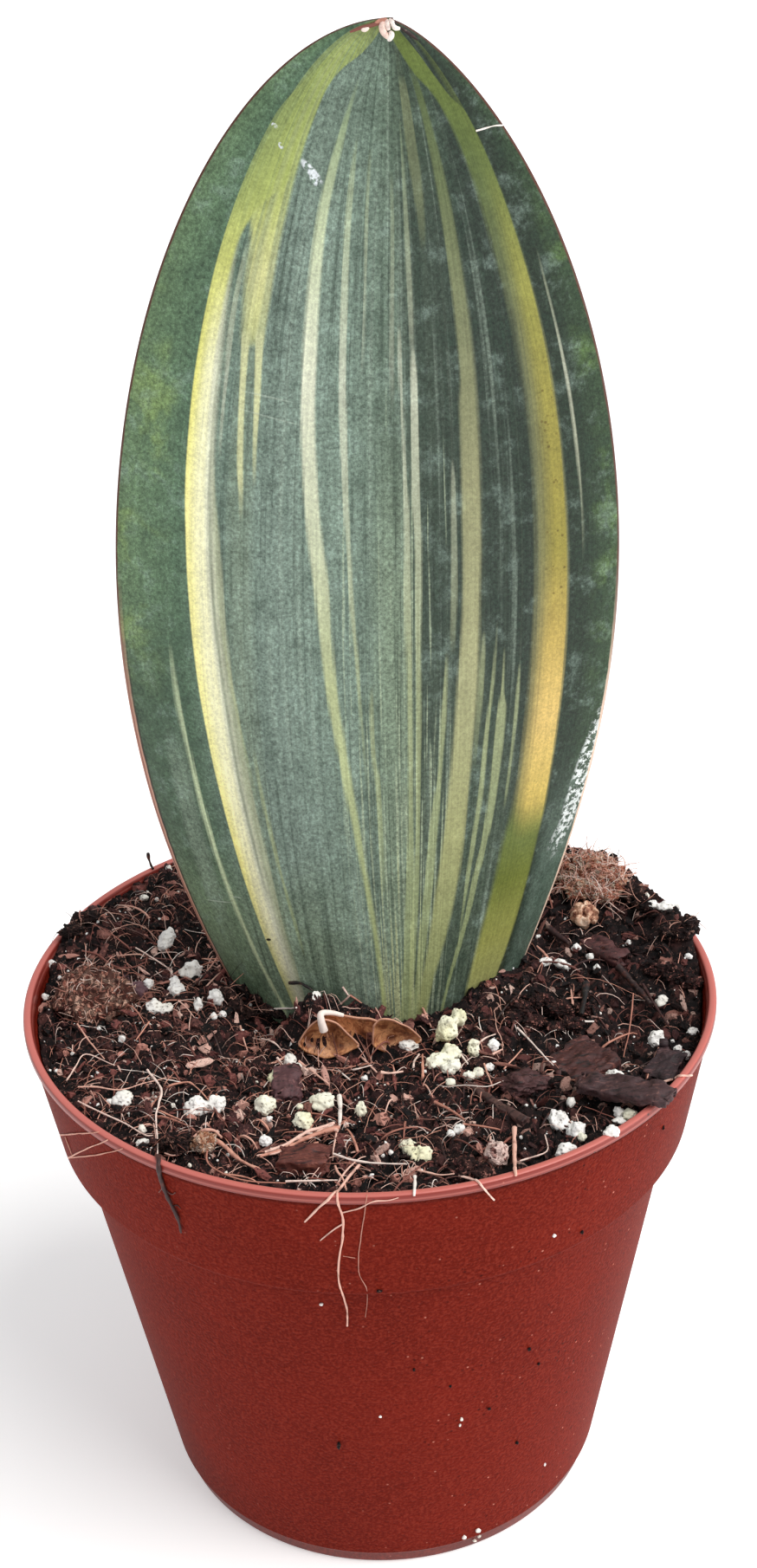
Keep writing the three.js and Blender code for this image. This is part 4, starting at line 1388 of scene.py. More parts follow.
# %% Refine the bark chips
BARK_SKIN = 0.3 * MM
TWIG_SKIN = 0.22 * MM
for node, (degrees, *tones) in BARK_CHIPS.items():
    turn = math.radians(degrees)
    chip_along = Vector((math.cos(turn), math.sin(turn), 0.0))
    low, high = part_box(node)
    chip_reach = max(abs((v.co - (low + high) / 2).dot(chip_along))
                     for v in frame["nodes"][node].data.vertices)

    def ridged(at, along=chip_along, reach=chip_reach):
        """Long ridges and flakes, with ends that are torn to uneven splinters."""
        run = at.dot(along)
        side = at - along * run
        ridge = noise.fractal(along * (run / (5.0 * MM)) + side / (0.9 * MM), 0.8, 2.1, 4)
        flake = noise.noise(at / (3.4 * MM) + Vector((7.0, 2.0, 5.0)))
        step = math.copysign(min(abs(flake) * 2.0, 0.35), flake)
        worn = max(0.0, abs(run) / reach - 0.6) / 0.4
        splinter = 0.6 + noise.noise(side / (1.2 * MM) + Vector((0.0, 3.0, 8.0)))
        return (0.34 * ridge + 1.0 * step - 1.5 * worn * worn * splinter) * MM - 0.05 * MM

    finish = bark_like(node.replace("_", " "), degrees, *tones)
    refined(node, "bark", finish, BARK_SKIN, ridged)
twig_finish = bark_like("dry twig", -54, (48, 30, 30), (86, 58, 54), (132, 96, 84))


def knobbly(at):
    """Small knobs and ridges along a twig."""
    return 0.3 * MM * noise.fractal(at / (2.2 * MM), 0.8, 2.0, 3) - 0.05 * MM


refined("twig", "bark", twig_finish, TWIG_SKIN, knobbly)
print("bark is done")

# %% [markdown]
# ### Coir
#
# Coconut fibre clots into spongy reddish-tan lumps. Two lumps stand out of the mix: a long
# one at the left, and a small round knot at the back right. A crumbly noise makes the long
# lump, and loose fibres are laid over it further down.

# %% Mix the granular finishes
def granular(name, tones, gaps=0.9, fineness=780.0, gap_colour=(22, 11, 11)):
    """Granules of four tones, dark to pale, and a few hairs; dark gaps between them are painted shade.
    """
    finish, tree, shader = new_finish(name)
    place = object_place(tree)
    bent = mottle(place, 500.0, 3.0, 0.6)
    stir = add(tree, "ShaderNodeTexNoise", {"Vector": place, "Scale": 900.0, "Detail": 2.0})
    stirred = add(tree, "ShaderNodeVectorMath", {
        0: stir.outputs["Color"], 1: (2.4 * MM,) * 3, 2: place,
    }, operation="MULTIPLY_ADD").outputs[0]
    granules = add(tree, "ShaderNodeTexVoronoi", {"Vector": stirred, "Scale": fineness})
    granule = Field(granules.outputs["Distance"]) + (bent - 0.5) * 0.5
    tone = Field(add(tree, "ShaderNodeSeparateColor", {0: granules.outputs["Color"]}).outputs[0])
    hairs = mottle(object_place(tree, (1.0, 5.0, 3.0)), 420.0, 3.0, 0.6, 3.0)
    colour = paint(
        ramp(tone, list(zip((0.0, 0.35, 0.65, 0.9), tones))),
        (hairs.ease(0.6, 0.68) * 0.7, tones[3]),
        # dark gaps between the granules are painted shade; the netted chip's pale gap colour is its
        # net
        (granule.ease(0.3, 0.52) * gaps, gap_colour),
    )
    pressed = granule.ease(0.6, 0.1) * 0.7 + hairs * 0.3
    dress(shader, colour, tone * 0.2 + 0.75, pressed, 0.9 * MM, 1.0, 0.25)
    return finish


coir_finish = granular(
    "reddish coconut fibre", [(92, 46, 41), (156, 94, 80), (208, 146, 126), (240, 196, 174)], 0.8
)
fluff_finish = granular(
    "pale coir fluff", [(132, 66, 50), (232, 142, 110), (254, 202, 168), (254, 238, 218)], 0.5,
    1000.0
)
peat_finish = granular(
    "dark peat clod", [(8, 5, 6), (26, 15, 16), (74, 46, 44), (156, 116, 104)], 0.8, 1000.0
)
ball_finish = granular(
    "wound coir", [(176, 108, 80), (218, 154, 118), (244, 192, 158), (252, 224, 204)], 0.4, 1200.0
)
fine_mix_finish = granular(
    "fine reddish mix", [(18, 10, 11), (62, 33, 33), (116, 68, 64), (184, 126, 114)], 0.9, 1000.0
)
netted_finish = granular(
    "netted pink chip", [(66, 34, 32), (112, 64, 58), (160, 106, 98), (214, 170, 160)],
    0.95, 700.0, (244, 214, 204)
)
print("six granular finishes")

# %% Refine the coir lump
COIR_SKIN = 0.32 * MM


def crumbly(at):
    """Crumbs of one to three millimetres stuck together."""
    crumb = 0.4 - noise.voronoi(at / (1.9 * MM))[0][0]
    grit = noise.fractal(at / (1.1 * MM), 0.8, 2.0, 3)
    return (1.7 * crumb + 0.6 * grit) * MM


refined("coir_lump", "coir", coir_finish, COIR_SKIN, crumbly)
print("the coir lump is done")

# %% [markdown]
# ## Crumbs and slivers
#
# Between the large chips lie thousands of crumbs of bark and peat, thin slivers of bark, and
# specks of perlite. They only have to look irregular, so a few small shapes of each kind are
# made once, and a geometry tree scatters them over the soil's top with random sizes, turns
# and tilts. Each one also gets its own random shade, which its finish reads.


# %% Make the small shapes
def bits(name, count, stretch, jag, seed):
    """A collection of a few small irregular shapes about one unit long."""
    group = bpy.data.collections.new(name)
    for k in range(count):
        built = bmesh.new()
        bmesh.ops.create_cube(built, size=1.0)
        bmesh.ops.subdivide_edges(built, edges=built.edges, cuts=1, use_grid_fill=True)
        for vertex in built.verts:
            ball = vertex.co.normalized() * 0.5
            shift = Vector((k * 7.1, seed * 3.3, 1.7))
            ball += noise.noise_vector(ball * 2.2 + shift) * jag
            vertex.co = Vector(c * s for c, s in zip(ball, stretch))
        mesh = mesh_of(built, f"{name}_{k}")
        group.objects.link(bpy.data.objects.new(mesh.name, mesh))
    return group


crumb_shapes = bits("crumb shapes", 6, (1.0, 0.8, 0.6), 0.34, 1)
sliver_shapes = bits("sliver shapes", 6, (1.6, 0.45, 0.22), 0.26, 2)
speck_shapes = bits("speck shapes", 5, (1.0, 0.9, 0.8), 0.22, 3)
print("three families of small shapes")


# %% The scattering recipe
def scattering(name, finish, shapes):
    """A tree that strews the shapes over the open ground, with a random shade for each."""
    tree, ground_mesh, size = recipe(name, {
        "Shapes": shapes, "Density": 1000.0, "Smallest": 0.5 * MM, "Largest": 2.0 * MM,
        "Most tilt": 0.5, "Sink": 0.2, "Seed": 1,
    })
    open_part = add(tree, "GeometryNodeInputNamedAttribute", {"Name": "open_ground"})
    spread = add(tree, "GeometryNodeDistributePointsOnFaces", {
        "Mesh": ground_mesh, "Seed": size["Seed"],
        "Density": Field(open_part.outputs["Attribute"]) * size["Density"],
    })

    def chance(low, high, step, kind="FLOAT"):
        draw = add(tree, "FunctionNodeRandomValue", data_type=kind)
        for socket, value in ((0, low), (1, high)):
            plug(value, draw.inputs[socket if kind == "FLOAT_VECTOR" else socket + 2])
        plug(size["Seed"] + float(step), draw.inputs["Seed"])
        return draw.outputs[0 if kind == "FLOAT_VECTOR" else 1]

    small_share = Field(chance(0.0, 1.0, 1)) ** 2.5
    scale = small_share * (size["Largest"] - size["Smallest"]) + size["Smallest"]
    down = add(tree, "ShaderNodeVectorMath", {
        0: spread.outputs["Normal"], "Scale": -(scale * size["Sink"]),
    }, operation="SCALE")
    lowered = add(tree, "GeometryNodeSetPosition", {"Geometry": spread, "Offset": down})
    family = add(tree, "GeometryNodeCollectionInfo", {
        "Collection": size["Shapes"], "Separate Children": True, "Reset Children": True,
    })
    laid = add(tree, "GeometryNodeInstanceOnPoints", {
        "Points": lowered, "Instance": family, "Pick Instance": True,
        "Rotation": spread.outputs["Rotation"], "Scale": scale,
    })
    tilt = size["Most tilt"]
    low_turn = add(tree, "ShaderNodeCombineXYZ", {0: -tilt, 1: -tilt, 2: -math.pi})
    high_turn = add(tree, "ShaderNodeCombineXYZ", {0: tilt, 1: tilt, 2: math.pi})
    turned = add(tree, "GeometryNodeRotateInstances", {
        "Instances": laid,
        "Rotation": chance(low_turn, high_turn, 2, "FLOAT_VECTOR"),
    })
    shaded = add(tree, "GeometryNodeStoreNamedAttribute", {
        "Geometry": turned, "Name": "shade", "Value": chance(0.0, 1.0, 3),
    }, domain="INSTANCE")
    serve(tree, shaded, finish)
    return tree


print("scattering is ready")

# %% Mix the crumbs' finish
crumb_finish, tree, shader = new_finish("bark crumbs")
place = object_place(tree)
grit = mottle(place, 1500.0, 3.0, 0.65)
colour = paint(
    ramp(carried(tree, "shade"), [
        (0.0, (3, 2, 3)), (0.44, (12, 7, 8)), (0.52, (84, 44, 44)), (0.62, (140, 82, 76)),
        (0.65, (10, 6, 7)), (0.80, (76, 42, 42)), (0.90, (194, 134, 120)), (1.0, (240, 204, 190)),
    ]),
    (grit.ease(0.56, 0.68) * 0.55, (176, 122, 108)),
    (grit.ease(0.46, 0.34) * 0.75, (10, 6, 7)),
    (damp_side(place) * 0.5, (18, 7, 8)),
)
dress(shader, colour, grit * 0.3 + 0.6, grit, 0.3 * MM, 0.8, 0.25)
print("crumb finish has", len(tree.nodes), "nodes")

# %% Strew the crumbs, slivers and specks
STREWN = {
    "bark_crumbs": (crumb_finish, crumb_shapes, "soil", {
        "Density": 0.140e6, "Smallest": 0.7 * MM, "Largest": 4.0 * MM, "Most tilt": 0.9,
        "Sink": 0.05, "Seed": 21}),
    "bark_slivers": (crumb_finish, sliver_shapes, "bark", {
        "Density": 0.060e6, "Smallest": 1.0 * MM, "Largest": 4.2 * MM, "Most tilt": 0.8,
        "Sink": -0.12, "Seed": 22}),
    "perlite_specks": (perlite_finish, speck_shapes, "perlite", {
        "Density": 0.028e6, "Smallest": 0.3 * MM, "Largest": 1.1 * MM, "Most tilt": 1.5,
        "Sink": -0.1, "Seed": 23}),
}
for name, (finish, shapes, slot, values) in STREWN.items():
    tree = scattering(name.replace("_", " "), finish, shapes)
    strewn = cook(name, tree, soil_mesh, {**values, "Shapes": shapes})
    hand_over(strewn, slot, smooth=slot == "perlite")
for shapes in (crumb_shapes, sliver_shapes, speck_shapes):
    for shape in list(shapes.objects):
        bpy.data.objects.remove(shape)
    bpy.data.collections.remove(shapes)

# %% [markdown]
# ## Fibres, hairs and roots
#
# Coconut fibres and fine dead roots cross the mix everywhere. A strand is a path with a
# thickness at each point: the paths are drawn as bare edges, and a geometry tree turns them
# into tubes, each with its own shade. Most paths are random walks that lie on the ground and
# bow up a little. A walk that would run into the leaf is dropped.


# %% Turn paths into tubes
def tubes(name, paths, sides, finish, slot):
    """One piece of many strands; a path is (points, radii in metres, shade)."""
    points, edges, thick, shades = [], [], [], []
    for places, radii, shade in paths:
        first = len(points)
        points += [tuple(p) for p in places]
        edges += [(first + k, first + k + 1) for k in range(len(places) - 1)]
        thick += list(radii)
        shades += [shade] * len(places)
    lines = bpy.data.meshes.new(name + " paths")
    lines.from_pydata(points, edges, [])
    keep(lines, "thick", thick)
    keep(lines, "shade", shades)
    tree, drawn, size = recipe(name, {"Sides": sides, "Thickness": 1.0})
    curve = add(tree, "GeometryNodeMeshToCurve", {"Mesh": drawn})
    outline = add(tree, "GeometryNodeCurvePrimitiveCircle", {"Resolution": size["Sides"]})
    thickness = add(tree, "GeometryNodeInputNamedAttribute", {"Name": "thick"})
    tube = add(tree, "GeometryNodeCurveToMesh", {
        "Curve": curve, "Profile Curve": outline, "Fill Caps": True,
        "Scale": Field(thickness.outputs["Attribute"]) * size["Thickness"],
    })
    serve(tree, tube, finish)
    hand_over(cook(name, tree, lines, {"Sides": sides}), slot)


blade_skin = carrier(blade)


def clear_of_leaf(places, room):
    """True where no point of a path comes near the blade."""
    return all(blade_skin.find_nearest(Vector(p))[3] > room for p in places)


print("strands are ready")

# %% Mix the fibres' finish
fibre_finish, tree, shader = new_finish("dry fibres and root hairs")
place = object_place(tree)
wear = mottle(place, 500.0, 3.0, 0.6)
colour = paint(
    ramp(carried(tree, "shade"), [
        (0.0, (14, 8, 9)), (0.3, (60, 30, 29)), (0.5, (146, 86, 74)),
        (0.7, (220, 156, 134)), (0.85, (248, 206, 190)), (1.0, (254, 244, 236)),
    ]),
    (wear.ease(0.5, 0.7) * 0.5, (120, 66, 52)),
    (wear.ease(0.42, 0.2) * 0.3, (230, 194, 172)),
)
dress(shader, colour, wear * 0.2 + 0.5, wear, 0.1 * MM, 0.5)
print("fibre finish has", len(tree.nodes), "nodes")


# %% Walk the random fibres over the ground
DAMP_FROM = 24 * MM
DAMP_SHARE = 0.4


def ground_walk(draw, length, steps, curl, bow, radius):
    """A wandering path on the ground, its ends sunk, or nothing where it leaves the soil."""
    reach = SOIL_RADIUS * math.sqrt(draw.random())
    turn = draw.uniform(0, 2 * math.pi)
    x, y = reach * math.cos(turn), reach * math.sin(turn)
    heading = draw.uniform(0, 2 * math.pi)
    bend = draw.normal(0, curl)
    places, radii = [], []
    lift = abs(draw.normal(0, bow))
    for k in range(steps + 1):
        share = k / steps
        if math.hypot(x, y) > SOIL_RADIUS:
            return None
        rise = math.sin(math.pi * share) * lift - (2 * share - 1) ** 6 * 0.8 * MM
        places.append((x, y, float(ground(x, y)) + rise + 0.35 * MM))
        radii.append(radius * (1 - 0.55 * share))
        heading += bend / steps + draw.normal(0, curl * 0.22)
        x += length / steps * math.cos(heading)
        y += length / steps * math.sin(heading)
    return places, radii


def walks(count, seed, lengths, steps, curl, bow, radii, shades):
    """Many random walks that stay on the soil and out of the leaf, fewer on the damp side."""
    draw = np.random.default_rng(seed)
    paths = []
    while len(paths) < count:
        walk = ground_walk(
            draw, draw.uniform(*lengths), steps, curl, bow, draw.uniform(*radii)
        )
        if not walk or not clear_of_leaf(walk[0], 0.8 * MM):
            continue
        if walk[0][0][0] < DAMP_FROM or draw.random() < DAMP_SHARE:
            paths.append((*walk, draw.uniform(*shades)))
    return paths


fine_paths = walks(
    2000, 31, (2.0 * MM, 7 * MM), 5, 0.3, 0.5 * MM, (0.06 * MM, 0.15 * MM), (0.3, 1.0)
)
tubes("fine_fibres", fine_paths, 3, fibre_finish, "coir")
curled_paths = walks(
    90, 33, (8 * MM, 22 * MM), 14, 0.8, 1.0 * MM, (0.07 * MM, 0.15 * MM), (0.4, 1.0)
)
tubes("curled_fibres", curled_paths, 4, fibre_finish, "coir")
coarse_paths = walks(
    230, 32, (4 * MM, 13 * MM), 8, 0.16, 0.6 * MM, (0.14 * MM, 0.34 * MM), (0.0, 0.85)
)
tubes("coarse_fibres", coarse_paths, 5, fibre_finish, "coir")

# %% [markdown]
# ### Strands that the photograph shows
#
# Some strands are large enough to be known one by one: pale roots on the left, a twisted root
# in front, and a few that hang over the lip and down the wall. Each is told by the pixels it
# crosses in the photograph. The line of sight through a pixel is followed until it meets the
# soil, the pot or the leaf, so that a strand really lies on what carries it and looks right
# from any side. Where the line meets nothing, the strand hangs free at its last depth.

# %% Follow a line of sight
PHOTO_WIDTH = 874
PHOTO_HEIGHT = 1810
LOOK_BELOW = 60
FOCUS = LENS_MM / SENSOR_MM * PHOTO_HEIGHT
hard_bed = carrier(pot, blade)
soft_bed = carrier(soil)


def sight(px, py):
    """The direction from the camera through a pixel of the photograph."""
    off_x = (px - PHOTO_WIDTH / 2) / FOCUS
    off_y = (PHOTO_HEIGHT / 2 - py) / FOCUS
    return (ahead + right * off_x + up * off_y).normalized()


def at_depth(px, py, y):
    """Where the line of sight reaches a depth, y in metres."""
    way = sight(px, py)
    return camera_place + way * ((y - camera_place.y) / way.y)


def spot(px, py, lift, litter=0.0):
    """A place above the soil, pot or leaf under a pixel, or nothing; litter clears the crumbs."""
    way = sight(px, py)
    hard, normal, _, hard_far = hard_bed.ray_cast(camera_place, way)
    soft, _, _, soft_far = soft_bed.ray_cast(camera_place, way)
    if soft and not (hard and hard_far < soft_far):
        place = soft
        for _ in range(4):
            level = float(ground(place.x, place.y)) + lift + litter
            place = camera_place + way * ((level - camera_place.z) / way.z)
        return place
    return hard + normal * lift if hard else None


def seat(px, py, lift):
    """As spot, but what hangs in the air takes the depth of the carrier just below it."""
    below = (spot(px, py + down, lift) for down in range(0, LOOK_BELOW, 2))
    return at_depth(px, py, next(filter(None, below)).y)


def smooth_path(corners, per_leg=5):
    """A smooth line through the corners."""
    ends = [2 * corners[0] - corners[1], *corners, 2 * corners[-1] - corners[-2]]
    line = []
    for p0, p1, p2, p3 in zip(ends, ends[1:], ends[2:], ends[3:]):
        for k in range(per_leg):
            t = k / per_leg
            line.append(0.5 * (
                2 * p1 + (p2 - p0) * t + (2 * p0 - 5 * p1 + 4 * p2 - p3) * t * t
                + (3 * p1 - p0 - 3 * p2 + p3) * t ** 3
            ))
    return [*line, corners[-1]]


print("lines of sight are ready")

# %% Lay the strands of the photograph: radius in mm, shade, then the pixels it crosses
SEEN_STRANDS = [
    (.42, .85, (386, 1296), (370, 1302), (354, 1307), (336, 1318), (320, 1325), (306, 1330)),
    (.48, .72, (243, 1312), (258, 1322), (272, 1335), (286, 1344), (300, 1350)),
    (.38, .66, (235, 1308), (227, 1316), (231, 1327), (244, 1325), (252, 1316)),
    (.40, .76, (224, 1314), (232, 1305), (246, 1305), (256, 1313)),
    (.30, .72, (632, 1105), (626, 1098), (620, 1092)),
    (.26, .60, (650, 998), (672, 988), (694, 984)),
    (.22, .90, (668, 1030), (676, 1010), (682, 990)),
    (.20, .84, (700, 1022), (716, 1012), (735, 1008)),
    (.22, .75, (89, 1182), (104, 1203), (120, 1222)),
    (.20, .88, (77, 1247), (88, 1230), (100, 1217), (132, 1230)),
    (.20, .78, (90, 1255), (113, 1255), (137, 1258), (165, 1251), (192, 1244)),
    (.20, .70, (172, 1180), (157, 1201)),
    (.22, .90, (90, 1271), (120, 1286), (145, 1297), (167, 1310), (177, 1311)),
    (.26, .92, (170, 1235), (186, 1257), (183, 1275), (180, 1290), (182, 1318), (182, 1335)),
    (.50, .22, (182, 1335), (185, 1346), (187, 1358), (195, 1380), (203, 1396), (208, 1408),
     (211, 1421)),
    (.16, .35, (193, 1374), (199, 1378), (203, 1376)),
    (.15, .30, (200, 1392), (205, 1391), (209, 1395)),
    (.15, .40, (190, 1366), (187, 1372), (184, 1376)),
    (.18, .80, (190, 1331), (200, 1334), (212, 1329)),
    (.22, .62, (240, 1325), (239, 1340), (252, 1352), (285, 1363), (330, 1366)),
    (.19, .70, (71, 1310), (92, 1308), (115, 1307)),
    (.19, .72, (80, 1336), (102, 1325), (125, 1316)),
    (.18, .68, (80, 1336), (110, 1333), (142, 1326)),
    (.16, .66, (76, 1312), (85, 1335)),
    (.20, 1.0, (549, 151), (562, 147), (572, 145), (581, 145)),
    (.20, .90, (157, 1094), (178, 1107), (199, 1121)),
    (.26, .45, (95, 1097), (112, 1102), (132, 1115), (152, 1117), (170, 1110)),
    (.22, .72, (85, 1130), (102, 1120), (120, 1114), (145, 1120)),
    (.52, 1.0, (392, 1265), (393, 1282), (392, 1300)),
    (.50, .68, (392, 1301), (375, 1306), (355, 1313), (337, 1322), (320, 1329), (300, 1335)),
    (.40, .82, (390, 1305), (376, 1302), (358, 1313), (340, 1316), (322, 1330), (296, 1334)),
    (.30, .90, (384, 1298), (366, 1309), (348, 1309), (330, 1324), (312, 1326)),
    (.30, .70, (337, 1320), (352, 1322), (368, 1318)),
    (.28, .95, (385, 1332), (412, 1340), (440, 1343), (470, 1344)),
    (.34, .60, (502, 1272), (519, 1281), (536, 1292)),
    (.28, .62, (535, 1297), (556, 1300), (577, 1304)),
    (.55, .78, (594, 1302), (594, 1330), (595, 1357)),
    (.34, .80, (415, 1345), (403, 1358), (390, 1375), (371, 1390), (352, 1409)),
    (.26, .76, (387, 1346), (390, 1354), (396, 1361), (400, 1374)),
    (.28, .76, (389, 1375), (391, 1390), (396, 1404), (396, 1425), (392, 1450), (391, 1475),
     (397, 1497), (401, 1512), (401, 1529)),
    (.19, .82, (396, 1412), (382, 1421), (370, 1431)),
    (.17, .80, (395, 1399), (412, 1395), (430, 1387), (447, 1385), (460, 1382)),
    (.10, .66, (396, 1450), (410, 1452)),
    (.12, .60, (424, 1375), (421, 1400), (416, 1432), (414, 1467), (424, 1490), (422, 1520)),
    (.40, 1.0, (479, 1358), (479, 1368), (478, 1380)),
    (.30, .86, (530, 1357), (547, 1362), (557, 1370), (570, 1384)),
    (.24, .92, (330, 1364), (360, 1363), (390, 1362)),
    (.22, .80, (480, 1350), (507, 1356), (525, 1355)),
    (.24, .95, (597, 1186), (620, 1210), (640, 1231)),
    (.26, 1.0, (669, 1179), (686, 1179)),
    (.20, .60, (731, 1147), (727, 1187), (720, 1220)),
    (.24, .72, (760, 1210), (753, 1228), (747, 1244)),
    (.36, .82, (755, 1254), (775, 1246), (797, 1241)),
    (.20, .90, (600, 1340), (631, 1329), (629, 1310)),
    (.85, .0, (677, 1135), (675, 1153), (671, 1171)),
    (.30, .78, (692, 1005), (710, 1022), (727, 1042)),
    (.25, .90, (320, 1221), (331, 1234)),
    (.28, .78, (345, 1225), (362, 1238), (379, 1251)),
    (.26, .96, (377, 1225), (390, 1235), (404, 1246)),
    (.24, .94, (404, 1236), (429, 1230)),
    (.32, .80, (406, 1209), (420, 1223), (435, 1238)),
    (.28, .92, (477, 1232), (479, 1224), (484, 1217)),
    (.30, .70, (488, 1244), (488, 1230), (488, 1217)),
    (.34, .84, (440, 1238), (452, 1239), (465, 1237)),
    (.25, .96, (532, 1217), (540, 1228)),
    (.26, .90, (549, 1209), (559, 1199), (572, 1194)),
    (.22, .74, (559, 1228), (569, 1255)),
    (.26, .80, (569, 1217), (580, 1211)),
    (.22, .72, (582, 1234), (603, 1211)),
    (.28, .90, (396, 1139), (402, 1148)),
    (.34, .86, (386, 1167), (395, 1157), (404, 1148)),
    (.22, .60, (404, 1148), (418, 1158), (431, 1169)),
    (.42, .0, (335, 1133), (349, 1134), (362, 1142)),
    (.40, .05, (266, 1134), (276, 1139), (286, 1150), (283, 1161)),
    (.36, .05, (280, 1152), (294, 1160), (306, 1158), (318, 1164)),
    (.30, .98, (298, 1168), (318, 1164), (342, 1163)),
    (.26, .90, (302, 1199), (316, 1203), (326, 1213)),
    (.90, .12, (714, 1116), (732, 1136), (752, 1160)),
    (.40, .30, (742, 1136), (756, 1160), (772, 1184)),
    (.70, .20, (632, 1070), (648, 1082), (658, 1090)),
    (.22, .74, (488, 1163), (498, 1186)),
    (.45, .05, (171, 985), (172, 992), (176, 1004)),
]
LITTER = 0.8 * MM
seen_paths = []
for radius, shade, *pixels in SEEN_STRANDS:
    dense = smooth_path([Vector(pixel) for pixel in pixels])
    landed = [spot(px, py, radius * 0.95 * MM, LITTER) for px, py in dense]
    line = []
    for (px, py), place in zip(dense, landed):
        near = line[-1] if line else next(p for p in landed if p)
        line.append(place or at_depth(px, py, near.y))
    wobble = [noise.noise_vector(p / (3.0 * MM)) * 0.12 * MM for p in line]
    line = [p + w for p, w in zip(line, wobble)]
    knots = [1 + 0.5 * noise.noise(p / (1.6 * MM)) for p in line]
    radii = [radius * MM * (1 - 0.45 * k / len(line)) * knot for k, knot in enumerate(knots)]
    seen_paths.append((line, radii, shade))
tubes("seen_strands", seen_paths, 7, fibre_finish, "coir")

# %% [markdown]
# ### Grains of perlite that the photograph shows
#
# The smaller grains are placed by pixel too, each sunk a little into the ground under it. They
# are small popped balls. Some grains are cream or greenish, from algae, so there are two
# pieces: the white grains, and the cream ones with a second, yellower finish.

# %% Mix the tinted perlite
tinted_finish = perlite_finish.copy()
tinted_finish.name = "cream perlite"
tint_ramp = next(n for n in tinted_finish.node_tree.nodes if n.type == "VALTORGB")
TINTED = [(253, 251, 238), (250, 247, 222), (242, 238, 188), (224, 220, 140)]
for element, colour in zip(tint_ramp.color_ramp.elements, TINTED):
    element.color = seen(colour)
for name in ("perlite_by_sheath", "perlite_cluster", "perlite_pierced", "perlite_front"):
    bpy.data.objects[name + "_fine"].data.materials[0] = tinted_finish
print("cream perlite mixed")

# %% Set the small grains: the pixel, then width and height in pixels
MM_PER_PIXEL = 0.229
LARGE_GRAIN = 11
LARGE_CLOD = 25
WHITE_GRAINS = [
    (127, 1270, 7, 7), (130, 1280, 7, 6), (142, 1265, 21, 15), (164, 1301, 9, 11),
    (164, 1317, 13, 8), (141, 1197, 9, 9), (114, 1186, 5, 5), (171, 1132, 12, 14),
    (210, 1121, 9, 9), (229, 1156, 11, 15), (249, 1147, 17, 18), (247, 1171, 8, 8),
    (257, 1169, 8, 8), (280, 1190, 6, 6), (295, 1190, 5, 5), (200, 1275, 5, 5),
    (59, 1110, 12, 11), (52, 1149, 8, 8), (166, 1034, 11, 8), (181, 1037, 5, 5),
    (195, 1001, 8, 10), (335, 1221, 14, 14), (344, 1230, 10, 9), (339, 1206, 9, 16),
    (311, 1290, 7, 7), (306, 1314, 13, 12), (421, 1243, 7, 6), (355, 1329, 7, 6),
    (429, 1356, 6, 6), (451, 1329, 6, 6), (530, 1301, 11, 10), (521, 1307, 8, 7),
    (566, 1229, 8, 8), (570, 1203, 13, 13), (605, 1238, 8, 8), (364, 1152, 12, 13, -14.2),
    (800, 1189, 13, 8), (782, 1209, 10, 9), (792, 1216, 10, 10), (689, 1115, 8, 8),
    (641, 1227, 12, 10), (565, 1230, 9, 8), (709, 1239, 21, 15), (659, 1270, 9, 12),
    (654, 1325, 23, 17), (714, 1281, 12, 11), (715, 1292, 14, 8), (706, 1304, 16, 12),
    (747, 1032, 7, 7), (753, 1042, 14, 12), (665, 1092, 11, 10), (681, 1102, 10, 9),
    (726, 1086, 6, 8), (712, 1096, 8, 8), (795, 1102, 9, 7), (621, 1080, 6, 6),
    (472, 1204, 20, 9), (630, 1108, 14, 9), (520, 1306, 7, 7), (84, 1215, 5, 5),
]
CREAM_GRAINS = [
    (320, 1240, 20, 15), (305, 1271, 22, 20), (372, 1267, 27, 20), (350, 1290, 22, 19),
    (416, 1277, 12, 17), (542, 1239, 12, 10), (552, 1236, 11, 12), (520, 1247, 10, 8),
    (727, 1284, 14, 12), (672, 1311, 10, 9), (700, 1240, 8, 7), (346, 1276, 8, 7),
]


def grain_cluster(name, grains, finish, seed, slot="perlite", grit=0.0, sink=0.25, swell=1.1):
    """One piece of popped balls, each sunk a share into what lies under its pixel.

    A fifth number gives a grain its own depth in mm.
    """
    built = bmesh.new()
    for k, (px, py, wide, high, *depth) in enumerate(grains):
        size = Vector((wide, (wide + high) / 2, high)) * (MM_PER_PIXEL * MM)
        middle = seat(px, py + high * sink, size.z * (0.47 - sink))
        if depth:
            middle = at_depth(px, py, depth[0] * MM)
        shift = Vector((k * 3.7, seed, 0.0))
        detail = (4 if wide > LARGE_GRAIN else 3) + (grit > 0 and wide > LARGE_CLOD)
        ball = bmesh.ops.create_icosphere(built, subdivisions=detail, radius=0.5)
        spreads = []
        for vertex in ball["verts"]:
            way = vertex.co.normalized()
            lump = noise.noise(way * 1.1 + shift) * 0.45 + noise.noise(way * 2.6 + shift) * 0.12
            bubble = 0.3 - noise.voronoi(way * 2.2 + shift)[0][0] * 0.3
            sand = noise.fractal(way * 4.0 + shift, 0.7, 2.0, 4) * grit
            spreads.append(1.0 + lump + bubble * 1.3 + sand)
        largest = max(spreads)
        for vertex, spread in zip(ball["verts"], spreads):
            reach = vertex.co.normalized() * (0.5 * swell * spread / largest)
            vertex.co = middle + Vector(r * s for r, s in zip(reach, size))
    mesh = mesh_of(built, name)
    mesh.materials.append(finish)
    hand_over(put_in_scene(name, mesh), slot)


grain_cluster("small_white_grains", WHITE_GRAINS, perlite_finish, 1)
grain_cluster("small_cream_grains", CREAM_GRAINS, tinted_finish, 2)

